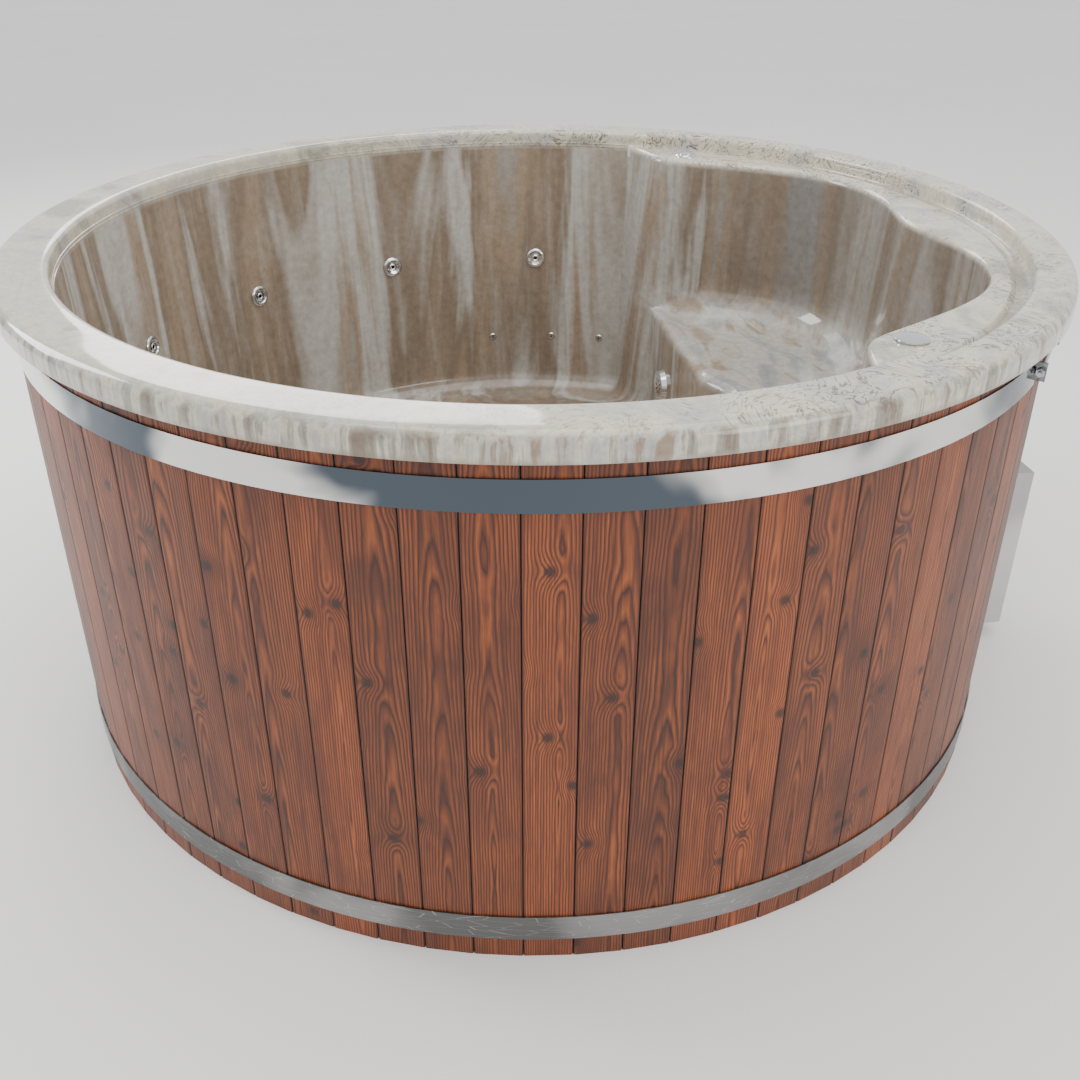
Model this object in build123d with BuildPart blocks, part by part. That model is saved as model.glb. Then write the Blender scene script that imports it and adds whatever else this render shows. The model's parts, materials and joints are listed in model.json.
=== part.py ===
from build123d import *
import os
from math import asin, atan, cos, degrees, radians, sin, sqrt

# Round wood-burning hot tub. Millimetres, Z up, origin on the tub axis at ground level.
# X points at the stove and the raised lounge seat, and the tub is symmetric about the XZ plane.

# Moulded shell
shell_wall = 8.0
rim_radius = 1000.0
rim_top = 962.0
skirt_depth = 43.0
skirt_wall = 9.0
rim_round = 20.0
mouth_radius = 898.0
mouth_round = 12.0
bench_top = 265.0
bench_radius = 850.0
bench_nose = 25.0
bench_cove = 50.0
footwell_radius = 495.0
floor_radius = 475.0
floor_top = 100.0
floor_cove = 25.0
hole_gap = 0.5

# Raised lounge seat
seat_top = 550.0
seat_front = 410.0
seat_nose = 25.0
recess_depth = 41.0
recess_flat = 90.0
recess_width = 352.0

# Crescent ledge over the seat, as angle and radius of its inner edge on one side
ledge_drop = 30.0
ledge_round = 14.0
ledge_edge = [
    (0, 782), (13, 830), (27, 858), (44, 803), (53, 779), (58.5, 792), (62.5, 849), (66, 905),
]
channel_inner = 893.0
channel_outer = 928.0
channel_depth = 9.0
channel_half_angle = 61.0

# Cladding boards
stave_count = 74
stave_radius = 971.0
stave_thick = 28.0
stave_bevel = 2.5
stave_gap = 0.5
stave_top_gap = 1.5
tongue_thick = 6.0
tongue_depth = 5.0
tongue_gap = 0.3

# Steel bands
band_height = 50.0
band_thick = 2.0
band_gap = 0.3
upper_band_z = 861.0
lower_band_z = 67.0
upper_band_start = -31.0
upper_band_end = -42.0
lug_height = 32.0
lug_reach = 18.0
lower_lug_length = 32.0
lower_lug_bolt = 18.0
lug_thick = 3.0
rod_radius = 4.0
rod_gap = 0.8
rod_overhang = 16.0
nut_width = 13.0
nut_thick = 6.5

# Timber frame
joist_width = 45.0
joist_height = 70.0
joist_pitch = 240.0
joists_each_side = 3
deck_thick = 22.0
frame_gap = 0.5
hoop_width = 22.5
hoop_thick = 18.0
hoop_levels = [470.0, 880.0]
post_width = 45.0
post_angles = [30, 68, 94, 120, 146, 172]
bracket_thick = 18.0
bracket_inner = 530.0
bracket_outer = 790.0
bracket_hole = 40.0
panel_thick = 18.0
panel_offset = 215.0
panel_front = 535.0
panel_back = 840.0
rest_gap = 0.3

# Stove housing and the opening behind it
housing_width = 400.0
housing_bottom = 38.0
housing_top = 427.0
housing_front = 1071.0
housing_sheet = 2.0
housing_round = 4.0
opening_width = 380.0
opening_bottom = 50.0
opening_top = 415.0
screw_head_radius = 5.5
screw_head_height = 3.0
screw_radius = 3.0

# Water jacket and firebox
skid_height = 6.0
skid_width = 30.0
jacket_back = 480.0
jacket_front = 915.0
jacket_width = 370.0
jacket_top = 410.0
jacket_wall = 3.0
firebox_back = 520.0
firebox_width = 232.0
firebox_shift = -44.0
firebox_bottom = 108.0
firebox_top = 388.0
firebox_wall = 4.0
flange_width = 28.0
weld_gap = 0.2
rail_size = 8.0
grate_rail_stop = 30.0
baffle_rail_stop = 80.0
drawer_height = 46.0
drawer_gap = 0.5
drawer_length = 420.0
drawer_wall = 2.0
drawer_front_thick = 4.0
grate_thick = 12.0
grate_length = 440.0
grate_slot = 10.0
grate_slots = 6
baffle_thick = 5.0
baffle_drop = 24.0
baffle_length = 400.0
flue_radius = 45.0
flue_duct_step = 1.5
flue_collar_radius = 52.0
flue_collar_thick = 4.0
flue_wall = 2.0
flue_offset = 138.0
flue_height = 330.0
flue_back = 560.0
flue_spigot = 50.0
port_radius = 32.0
port_shift = 45.0

# Stove door
door_thick = 8.0
door_overlap = 10.0
door_round = 12.0
gasket_thick = 6.0
gasket_width = 8.0
door_gap = 0.3
sill_height = 20.0
hinge_radius = 5.0
hinge_pin_radius = 3.0
hinge_reach = 8.0
knuckle_length = 24.0
knuckle_levels = [225.0, 345.0]
knuckle_gap = 0.4
run_gap = 0.06
latch_offset = 62.0
latch_level = 232.0
latch_thick = 4.0
latch_width = 16.0
latch_reach = 28.0
latch_arm = 96.0
grip_radius = 10.0
grip_length = 62.0
pivot_radius = 4.0
keeper_width = 20.0
keeper_lip = 4.0
damper_radius = 42.0
damper_thick = 3.0
damper_offset = -48.0
damper_level = 240.0
damper_hole = 8.0
damper_holes = 4
damper_ring = 25.0
knob_radius = 9.0
knob_height = 14.0

# Water circulation through the riser
pipe_radius = 25.0
pipe_wall = 3.0
hot_level = 380.0
cold_level = 165.0
flange_radius = 38.0
flange_thick = 4.0
nut_ring = 9.0
nut_ring_thick = 6.0

# Massage jets
jet_angles = [81, 107, 133, 159]
jet_level = 630.0
jet_hole = 17.0
jet_flange = 22.0
jet_flange_thick = 2.0
jet_bore = 13.5
jet_chamber_radius = 22.0
jet_chamber_front = 15.0
jet_chamber_back = 45.0
jet_face = 25.0
jet_face_height = 4.2
jet_insert_depth = 20.0
jet_insert_room = 4.0
jet_chamber_wall = 3.0
jet_seal = 0.4
injector_angles = [69, 78, 89]
injector_level = 410.0
injector_radius = 5.0
injector_flange = 10.0
injector_flange_thick = 3.0

# Pipework behind the shell
ring_radius = 899.0
water_pipe = 16.0
water_ring_level = 568.0
water_ring_start = 52.0
water_ring_end = 285.0
water_stub = 8.0
air_pipe = 8.0
air_ring_radius = 905.0
air_ring_level = 700.0
air_ring_start = 78.0
air_ring_end = 298.0
air_stub = 5.0
injector_pipe_radius = 8.0
injector_ring_level = 440.0
injector_stub = 3.0
pipe_wall_thin = 2.0
elbow_step = 3.0
feed_step = 1.0
stub_entry = 5.0
stub_gap = 0.3

# Pump and blower
suction_offset = 470.0
suction_level = 395.0
suction_cover = 45.0
suction_cover_height = 12.0
suction_tail = 22.0
suction_back = 490.0
suction_cross_level = 480.0
pump_level = 190.0
pump_front = 545.0
pump_radius = 76.0
pump_length = 60.0
pump_wall = 8.0
motor_radius = 62.0
motor_length = 150.0
impeller_radius = 58.0
impeller_gap = 6.0
shaft_radius = 6.0
vane_count = 6
blower_x = 600.0
blower_y = -450.0
blower_radius = 80.0
blower_height = 150.0
fan_radius = 66.0
fan_height = 40.0

# Drain at the back
drain_angle = 90.0
drain_level = 155.0
drain_radius = 20.0
drain_wall = 3.0
drain_flange = 28.0
valve_start = 976.0
valve_length = 70.0
valve_radius = 26.0
stem_radius = 5.0
stem_height = 12.0
lever_length = 90.0
lever_width = 16.0
lever_thick = 4.0

# Controls on the ledge
control_angle = 53.8
control_radius = 830.0
control_hole = 16.0
dome_radius = 27.0
dome_height = 8.0
knob_spindle = 20.0
control_flange = 24.0
control_flange_thick = 2.0
control_depth = 60.0
button_radius = 18.0
button_travel = 3.5
spring_radius = 10.0
spring_wire = 0.8
spring_turns = 5

# Worked out from the sizes above
wall_slope = (mouth_radius - bench_radius) / (rim_top - bench_top)
wall_lean = degrees(atan(wall_slope))
ledge_top = rim_top - ledge_drop
ledge_under = ledge_top - shell_wall
stave_pitch = 360 / stave_count
stave_inner = stave_radius - stave_thick
stave_top = rim_top - shell_wall - stave_top_gap
frame_radius = stave_inner - frame_gap
deck_top = floor_top - shell_wall
joist_top = deck_top - deck_thick
riser_face = seat_front + recess_depth
riser_back = riser_face + shell_wall
band_inner = stave_radius + band_gap
band_outer = band_inner + band_thick
housing_half = housing_width / 2
injector_ring = ring_radius - injector_pipe_radius
opening_half = opening_width / 2
jacket_half = jacket_width / 2
jacket_bottom = deck_top + skid_height
firebox_left = firebox_shift - firebox_width / 2
firebox_right = firebox_shift + firebox_width / 2
firebox_front = housing_front - housing_sheet
flue_duct_radius = flue_radius - flue_duct_step
mouth_left = firebox_left + firebox_wall
mouth_right = firebox_right - firebox_wall
drawer_bottom = firebox_bottom + firebox_wall + drawer_gap
drawer_top = drawer_bottom + drawer_height
grate_bottom = drawer_top + rail_size + drawer_gap
mouth_bottom = grate_bottom + sill_height
mouth_top = firebox_top - firebox_wall
gasket_back = housing_front + door_gap
door_back = gasket_back + gasket_thick
door_front = door_back + door_thick
door_left = mouth_left - door_overlap
door_right = mouth_right + door_overlap
door_bottom = mouth_bottom - door_overlap
door_top = mouth_top + door_overlap
hinge_x = housing_front + hinge_radius + 1
hinge_y = door_left - hinge_reach

os.makedirs("parts", exist_ok=True)


def radial_plane(angle):
    # Upright plane through the tub axis: local x runs outward and local y runs up.
    a = radians(angle)
    return Plane(origin=(0, 0, 0), x_dir=(cos(a), sin(a), 0), z_dir=(sin(a), -cos(a), 0))


def polar(radius, angle, height=0.0):
    a = radians(angle)
    return (radius * cos(a), radius * sin(a), height)


def wall_radius(height):
    return bench_radius + wall_slope * (height - bench_top)


def wall_plane(angle, height):
    # Plane on the inner wall of the tub: z points into the water and y points up.
    a = radians(angle)
    lean = radians(wall_lean)
    return Plane(
        origin=polar(wall_radius(height), angle, height),
        x_dir=(sin(a), -cos(a), 0),
        z_dir=(-cos(a) * cos(lean), -sin(a) * cos(lean), sin(lean)),
    )


def block(x, y, z, mode=Mode.ADD):
    # Box given by its two ends along each axis.
    centre = ((x[0] + x[1]) / 2, (y[0] + y[1]) / 2, (z[0] + z[1]) / 2)
    with Locations(centre):
        Box(x[1] - x[0], y[1] - y[0], z[1] - z[0], mode=mode)


def rod_along_x(x, y, z, radius, mode=Mode.ADD):
    with BuildSketch(Plane.YZ.offset(x[0])) as disc:
        with Locations((y, z)):
            Circle(radius)
    extrude(disc.sketch, amount=x[1] - x[0], mode=mode)


def save(part, name):
    part.label = name
    export_step(part, "parts/" + name + ".step")


def both_sides(angles):
    return [a for a in angles] + [-a for a in angles]


# Shell: the solid inside of the basin, which is cut out of a solid one wall thicker
def basin(grow):
    with BuildPart() as solid:
        with BuildSketch(Plane.XZ):
            with BuildLine():
                low = floor_top - grow
                bench = bench_top - grow
                inside = FilletPolyline(
                    (0, low),
                    (floor_radius + grow, low),
                    (footwell_radius + grow, bench),
                    (bench_radius + grow, bench),
                    (mouth_radius + grow, rim_top),
                    radius=[floor_cove + grow, bench_nose - grow, bench_cove + grow],
                )
                Polyline(inside @ 1, (0, rim_top), inside @ 0)
            make_face()
        revolve(axis=Axis.Z)
    return solid.part


def mouth_flare():
    # Rounds the inner edge of the rim over the whole turn.
    with BuildPart() as solid:
        with BuildSketch(Plane.XZ):
            with BuildLine():
                foot = rim_top - 2 * mouth_round
                edge = FilletPolyline(
                    (wall_radius(foot), foot),
                    (mouth_radius, rim_top),
                    (mouth_radius + 2 * mouth_round, rim_top),
                    radius=mouth_round,
                )
                above = rim_top + mouth_round
                Polyline(
                    edge @ 1, (mouth_radius + 2 * mouth_round, above), (bench_radius, above),
                    (bench_radius, foot), edge @ 0,
                )
            make_face()
        revolve(axis=Axis.Z)
    return solid.part


def seat_block(inset):
    # Everything behind and under the lounge seat, with a shallow recess in its front edge.
    front = seat_front + inset
    half = recess_width / 2
    flat = recess_flat / 2
    with BuildPart() as solid:
        with BuildSketch():
            with BuildLine():
                Line((front, -rim_radius), (front, -half))
                Spline((front, -half), (front + recess_depth, -flat), tangents=((0, 1), (0, 1)))
                Line((front + recess_depth, -flat), (front + recess_depth, flat))
                Spline((front + recess_depth, flat), (front, half), tangents=((0, 1), (0, 1)))
                Polyline(
                    (front, half), (front, rim_radius), (rim_radius, rim_radius),
                    (rim_radius, -rim_radius), (front, -rim_radius),
                )
            make_face()
        extrude(amount=seat_top - inset)
        top = solid.edges().group_by(Axis.Z)[-1]
        nose = [e for e in top if e.center().X < riser_back + 1]
        fillet(nose, radius=seat_nose - inset)
    return solid.part


def ledge_outline(height, inset):
    # Plan of the solid behind the lobed backrest at one height.
    turn = 1 - degrees(inset / mouth_radius) / channel_half_angle
    reach = wall_slope * (ledge_top - height)
    side = [polar(r + inset - reach, a * turn)[:2] for a, r in ledge_edge]
    points = [(x, -y) for x, y in reversed(side[1:])] + side
    end = ledge_edge[-1][0] * turn
    outer = rim_radius - 2 * rim_round
    with BuildSketch(Plane.XY.offset(height)) as outline:
        with BuildLine():
            Spline(*points)
            Line(points[-1], polar(outer, end)[:2])
            ThreePointArc(polar(outer, end)[:2], (outer, 0), polar(outer, -end)[:2])
            Line(polar(outer, -end)[:2], points[0])
        make_face()
    return outline.sketch


def backrest_block(inset):
    with BuildPart() as solid:
        add(ledge_outline(ledge_top - inset, inset))
        add(ledge_outline(bench_top - 2 * bench_cove, inset))
        loft(ruled=True)
        top = solid.edges().group_by(Axis.Z)[-1]
        inner = top.sort_by(lambda e: (e @ 0.5).X ** 2 + (e @ 0.5).Y ** 2)[0]
        fillet(inner, radius=ledge_round - inset)
    return solid.part


def channel_ring(grow):
    # Drain channel between the ledge and the rim, with the rim rounded over above it.
    start = radial_plane(-channel_half_angle - degrees(grow / channel_outer))
    turn = 2 * (channel_half_angle + degrees(grow / channel_outer))
    inner = channel_inner - ledge_drop
    low = ledge_top - channel_depth - grow
    with BuildPart() as solid:
        with BuildSketch(start):
            if grow > 0:
                with BuildLine():
                    Polyline(
                        (inner, rim_top), (inner, low), (channel_outer + grow, low),
                        (channel_outer + grow, rim_top), (inner, rim_top),
                    )
            else:
                with BuildLine():
                    bed = FilletPolyline(
                        (inner, ledge_top), (channel_inner, ledge_top),
                        (channel_inner + channel_depth, low), (channel_outer, low),
                        (channel_outer, rim_top), (channel_outer + 2 * mouth_round, rim_top),
                        radius=[4, 4, channel_depth, mouth_round],
                    )
                    above = rim_top + mouth_round
                    Polyline(bed @ 1, (channel_outer + 2 * mouth_round, above), (inner, above), bed @ 0)
            make_face()
        revolve(axis=Axis.Z, revolution_arc=turn)
    return solid.part


basin_inside = basin(0)
basin_outside = basin(shell_wall)
seat_inside = seat_block(0)
seat_outside = seat_block(shell_wall)
backrest_inside = backrest_block(0)
backrest_outside = backrest_block(shell_wall)
channel_inside = channel_ring(0)
channel_outside = channel_ring(shell_wall)
flare = mouth_flare()

with BuildPart() as cavity:
    add(basin_inside)
    add(seat_inside, mode=Mode.SUBTRACT)
    add(backrest_inside, mode=Mode.SUBTRACT)
    add(flare)
    add(channel_inside)

with BuildPart() as shell:
    add(basin_outside)
    add(seat_outside, mode=Mode.SUBTRACT)
    add(backrest_outside, mode=Mode.SUBTRACT)
    add(channel_outside)
    with BuildSketch(Plane.XZ):
        with BuildLine():
            under = rim_top - shell_wall
            skirt_inner = rim_radius - skirt_wall
            lip = FilletPolyline(
                (channel_inner, rim_top), (rim_radius, rim_top), (rim_radius, rim_top - skirt_depth),
                radius=rim_round,
            )
            Polyline(
                lip @ 1, (skirt_inner, rim_top - skirt_depth), (skirt_inner, under),
                (channel_inner, under), lip @ 0,
            )
        make_face()
    revolve(axis=Axis.Z)
    add(cavity.part, mode=Mode.SUBTRACT)
    for angle in both_sides(jet_angles):
        with BuildSketch(wall_plane(angle, jet_level).offset(-2 * shell_wall)):
            Circle(jet_hole + hole_gap)
        extrude(amount=4 * shell_wall, mode=Mode.SUBTRACT)
    for angle in both_sides(injector_angles):
        with BuildSketch(wall_plane(angle, injector_level).offset(-2 * shell_wall)):
            Circle(injector_radius + hole_gap)
        extrude(amount=4 * shell_wall, mode=Mode.SUBTRACT)
    for angle in both_sides([control_angle]):
        with BuildSketch(Plane.XY.offset(ledge_under - shell_wall)):
            with Locations(polar(control_radius, angle)[:2]):
                Circle(control_hole + hole_gap)
        extrude(amount=3 * shell_wall, mode=Mode.SUBTRACT)
    for level in (hot_level, cold_level):
        rod_along_x((riser_face - 10, riser_back + 10), 0, level, pipe_radius + hole_gap, Mode.SUBTRACT)
    for side in (-1, 1):
        rod_along_x(
            (seat_front - 10, seat_front + shell_wall + 10), side * suction_offset, suction_level,
            pipe_radius + hole_gap, Mode.SUBTRACT,
        )
    with BuildSketch(radial_plane(drain_angle - 90).offset(-footwell_radius - 3 * shell_wall)):
        with Locations((0, drain_level)):
            Circle(drain_radius + hole_gap)
    extrude(amount=8 * shell_wall, mode=Mode.SUBTRACT)
save(shell.part, "shell")


# Cladding: tongued boards round the shell, each one flat
def stave_section():
    half = radians(stave_pitch / 2)
    face = stave_radius * cos(half)
    side = stave_radius * sin(half) - stave_gap / 2
    back = stave_inner
    back_side = side * back / face
    middle = (face + back) / 2
    with BuildSketch() as section:
        with BuildLine():
            Polyline(
                (back, -back_side), (face - stave_bevel, -side + stave_bevel * sin(half)),
                (face, -side + stave_bevel), (face, side - stave_bevel),
                (face - stave_bevel, side - stave_bevel * sin(half)), (back, back_side),
                close=True,
            )
        make_face()
        with Locations(Location((*polar(middle, stave_pitch / 2)[:2], 0), (0, 0, stave_pitch / 2))):
            Rectangle(tongue_thick, 2 * tongue_depth)
        with Locations(Location((*polar(middle, -stave_pitch / 2)[:2], 0), (0, 0, -stave_pitch / 2))):
            Rectangle(
                tongue_thick + 2 * tongue_gap, 2 * tongue_depth + 4 * tongue_gap, mode=Mode.SUBTRACT,
            )
    return section.sketch


with BuildPart() as stave:
    add(stave_section())
    extrude(amount=stave_top)

cut_angle = degrees(asin(opening_half / stave_radius))
cut_staves = 2 * int(cut_angle / stave_pitch + 0.5) + 1
cut_start = -stave_pitch * (cut_staves // 2)

with BuildPart() as staves:
    with PolarLocations(
        0, stave_count - cut_staves, cut_start + stave_pitch * cut_staves,
        stave_pitch * (stave_count - cut_staves - 1), endpoint=True,
    ):
        add(stave.part)
    with BuildSketch(radial_plane(drain_angle - 90).offset(-rim_radius)):
        with Locations((0, drain_level)):
            Circle(drain_radius + hole_gap)
    extrude(amount=rim_radius - footwell_radius, mode=Mode.SUBTRACT)
save(staves.part, "staves")

with BuildPart() as notched_staves:
    with PolarLocations(0, cut_staves, cut_start, stave_pitch * (cut_staves - 1), endpoint=True):
        add(stave.part)
    block(
        (stave_inner - 50, rim_radius), (-opening_half, opening_half), (opening_bottom, opening_top),
        Mode.SUBTRACT,
    )
save(notched_staves.part, "notched_staves")

# Upper band, open beside the stove and drawn together there by a threaded rod
with BuildPart() as upper_band:
    low = upper_band_z - band_height / 2
    with BuildSketch(radial_plane(upper_band_start)):
        with BuildLine():
            Polyline(
                (band_inner, low), (band_outer, low), (band_outer, low + band_height),
                (band_inner, low + band_height), close=True,
            )
        make_face()
    revolve(axis=Axis.Z, revolution_arc=360 + upper_band_end - upper_band_start)
    for angle, sign in ((upper_band_start, -1), (upper_band_end, 1)):
        with BuildSketch(radial_plane(angle)):
            with Locations((band_inner + lug_reach / 2, upper_band_z)):
                Rectangle(lug_reach, lug_height)
            with Locations((band_inner + lug_reach / 2, upper_band_z)):
                Circle(rod_radius + rod_gap, mode=Mode.SUBTRACT)
        extrude(amount=sign * lug_thick)
save(upper_band.part, "upper_band")

rod_middle = (upper_band_start + upper_band_end) / 2
rod_half_angle = (upper_band_start - upper_band_end) / 2
rod_reach = (band_inner + lug_reach / 2) * sin(radians(rod_half_angle))
rod_line = (band_inner + lug_reach / 2) * cos(radians(rod_half_angle))
rod_plane = Plane(
    origin=polar(rod_line, rod_middle, upper_band_z),
    x_dir=(0, 0, 1),
    z_dir=(-sin(radians(rod_middle)), cos(radians(rod_middle)), 0),
)
rod_half = rod_reach + lug_thick + rod_overhang
with BuildPart() as tension_rod:
    with BuildSketch(rod_plane.offset(-rod_half)):
        Circle(rod_radius)
    extrude(amount=2 * rod_half)
save(tension_rod.part, "tension_rod")

# Lower band, bolted to the sides of the stove housing
lug_middle = housing_half + band_gap + lug_thick / 2
lower_start = degrees(asin(lug_middle / band_inner))
lug_foot = sqrt(band_inner ** 2 - lug_middle ** 2) + 0.5
lug_bolt = lug_foot + lower_lug_bolt
with BuildPart() as lower_band:
    low = lower_band_z - band_height / 2
    with BuildSketch(radial_plane(lower_start)):
        with BuildLine():
            Polyline(
                (band_inner, low), (band_outer, low), (band_outer, low + band_height),
                (band_inner, low + band_height), close=True,
            )
        make_face()
    revolve(axis=Axis.Z, revolution_arc=360 - 2 * lower_start)
    for side in (-1, 1):
        with BuildSketch(Plane.XZ.offset(side * lug_middle - lug_thick / 2)):
            with Locations((lug_foot + lower_lug_length / 2, lower_band_z)):
                Rectangle(lower_lug_length, lug_height)
            with Locations((lug_bolt, lower_band_z)):
                Circle(rod_radius + rod_gap, mode=Mode.SUBTRACT)
        extrude(amount=lug_thick)
save(lower_band.part, "lower_band")

with BuildPart() as housing_bolts:
    for side in (-1, 1):
        face = housing_half + band_gap + lug_thick
        with BuildSketch(Plane.XZ.offset(side * face)):
            with Locations((lug_bolt, lower_band_z)):
                RegularPolygon(nut_width / 2, 6, major_radius=False)
        extrude(amount=side * nut_thick)
        with BuildSketch(Plane.XZ.offset(side * face)):
            with Locations((lug_bolt, lower_band_z)):
                Circle(rod_radius)
        extrude(amount=-side * (face - housing_half + housing_sheet + nut_thick + 2))
save(housing_bolts.part, "housing_bolts")

with BuildPart() as band_nuts:
    for side in (-1, 1):
        tilt_gap = nut_width * 0.6 * sin(radians(rod_half_angle))
        with BuildSketch(rod_plane.offset(side * (rod_reach + lug_thick + tilt_gap))):
            RegularPolygon(nut_width / 2, 6, major_radius=False)
            Circle(rod_radius, mode=Mode.SUBTRACT)
        extrude(amount=side * nut_thick)
        with BuildSketch(Plane.XZ.offset(side * (housing_half - housing_sheet))):
            with Locations((lug_bolt, lower_band_z)):
                RegularPolygon(nut_width / 2, 6, major_radius=False)
                Circle(rod_radius, mode=Mode.SUBTRACT)
        extrude(amount=-side * nut_thick)
save(band_nuts.part, "band_nuts")

# Timber base and the frame that the boards are nailed to
with BuildPart() as joists:
    for row in range(-joists_each_side, joists_each_side + 1):
        edge = abs(row) * joist_pitch + joist_width / 2
        half = sqrt(frame_radius ** 2 - edge ** 2)
        y = row * joist_pitch
        block((-half, half), (y - joist_width / 2, y + joist_width / 2), (0, joist_top))
save(joists.part, "joists")

with BuildPart() as base_deck:
    with BuildSketch(Plane.XY.offset(joist_top)):
        Circle(frame_radius)
    extrude(amount=deck_thick)
save(base_deck.part, "base_deck")

with BuildPart() as hoops:
    for level in [deck_top] + hoop_levels:
        with BuildSketch(Plane.XY.offset(level)):
            Circle(frame_radius)
            Circle(frame_radius - hoop_width, mode=Mode.SUBTRACT)
        extrude(amount=hoop_thick)
    block(
        (0, rim_radius), (-opening_half, opening_half), (deck_top - 1, deck_top + hoop_thick + 1),
        Mode.SUBTRACT,
    )
save(hoops.part, "hoops")

post_depth = hoop_width - 1
with BuildPart() as posts:
    for low, high in zip([deck_top] + hoop_levels[:-1], hoop_levels):
        for angle in both_sides(post_angles):
            with BuildSketch(Plane.XY.offset(low + hoop_thick)):
                place = polar(frame_radius - 1 - post_depth / 2, angle)
                with Locations(Location((place[0], place[1], 0), (0, 0, angle))):
                    Rectangle(post_depth, post_width)
            extrude(amount=high - low - hoop_thick)
save(posts.part, "posts")

bench_under = bench_top - shell_wall - rest_gap
with BuildPart() as bench_brackets:
    for angle in both_sides(jet_angles):
        with BuildSketch(radial_plane(angle).offset(-bracket_thick / 2)):
            centre = ((bracket_inner + bracket_outer) / 2, (deck_top + bench_under) / 2)
            with Locations(centre):
                Rectangle(bracket_outer - bracket_inner, bench_under - deck_top)
                Circle(bracket_hole, mode=Mode.SUBTRACT)
        extrude(amount=bracket_thick)
save(bench_brackets.part, "bench_brackets")

seat_under = seat_top - shell_wall - rest_gap
with BuildPart() as seat_panels:
    for side in (-1, 1):
        y = side * panel_offset
        block(
            (panel_front, panel_back), (y - panel_thick / 2, y + panel_thick / 2), (deck_top, seat_under),
        )
save(seat_panels.part, "seat_panels")

# Stainless housing over the opening in the boards
with BuildPart() as stove_housing:
    block(
        (stave_inner - 50, housing_front), (-housing_half, housing_half), (housing_bottom, housing_top),
    )
    front_edges = stove_housing.edges().group_by(Axis.X)[-1]
    fillet(front_edges, radius=housing_round)
    block(
        (stave_inner - 60, firebox_front),
        (-housing_half + housing_sheet, housing_half - housing_sheet),
        (housing_bottom + housing_sheet, housing_top - housing_sheet),
        Mode.SUBTRACT,
    )
    with BuildSketch(Plane.XY):
        Circle(stave_radius + band_gap)
    extrude(amount=rim_top, mode=Mode.SUBTRACT)
    with BuildSketch(Plane.YZ.offset(firebox_front - 1)):
        with Locations(((mouth_left + mouth_right) / 2, (mouth_bottom + mouth_top) / 2)):
            Rectangle(mouth_right - mouth_left, mouth_top - mouth_bottom)
        with Locations(((mouth_left + mouth_right) / 2, (drawer_bottom + drawer_top) / 2)):
            Rectangle(mouth_right - mouth_left, drawer_height + 2 * drawer_gap)
        with Locations((flue_offset, flue_height)):
            Circle(flue_duct_radius + weld_gap)
        for z in (firebox_bottom - flange_width / 2, firebox_top + flange_width / 2):
            for y in (firebox_left + 20, (firebox_left + firebox_right) / 2, firebox_right - 20):
                with Locations((y, z)):
                    Circle(screw_radius + weld_gap)
    extrude(amount=housing_sheet + 2, mode=Mode.SUBTRACT)
    for side in (-1, 1):
        with BuildSketch(Plane.XZ.offset(side * housing_half - 3)):
            with Locations((lug_bolt, lower_band_z)):
                Circle(rod_radius + rod_gap)
        extrude(amount=6, mode=Mode.SUBTRACT)
save(stove_housing.part, "stove_housing")

with BuildPart() as housing_screws:
    for z in (firebox_bottom - flange_width / 2, firebox_top + flange_width / 2):
        for y in (firebox_left + 20, (firebox_left + firebox_right) / 2, firebox_right - 20):
            rod_along_x((housing_front, housing_front + screw_head_height), y, z, screw_head_radius)
            rod_along_x((firebox_front - 8, housing_front), y, z, screw_radius)
save(housing_screws.part, "housing_screws")

# Water jacket, standing on two skids
with BuildPart() as water_jacket:
    block((jacket_back, jacket_front), (-jacket_half, jacket_half), (jacket_bottom, jacket_top))
    block(
        (jacket_back + jacket_wall, jacket_front - jacket_wall),
        (-jacket_half + jacket_wall, jacket_half - jacket_wall),
        (jacket_bottom + jacket_wall, jacket_top - jacket_wall),
        Mode.SUBTRACT,
    )
    for side in (-1, 1):
        y = side * (jacket_half - skid_width)
        block(
            (jacket_back, jacket_front), (y - skid_width / 2, y + skid_width / 2),
            (deck_top, jacket_bottom),
        )
    block(
        (jacket_front - 2 * jacket_wall, jacket_front + 1),
        (firebox_left - weld_gap, firebox_right + weld_gap),
        (firebox_bottom - weld_gap, firebox_top + weld_gap),
        Mode.SUBTRACT,
    )
    rod_along_x(
        (jacket_front - 2 * jacket_wall, jacket_front + 1), flue_offset, flue_height,
        flue_duct_radius + weld_gap, Mode.SUBTRACT,
    )
    for level in (hot_level, cold_level):
        rod_along_x(
            (jacket_back - 1, jacket_back + 2 * jacket_wall), 0, level, pipe_radius + weld_gap,
            Mode.SUBTRACT,
        )
save(water_jacket.part, "water_jacket")

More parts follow.
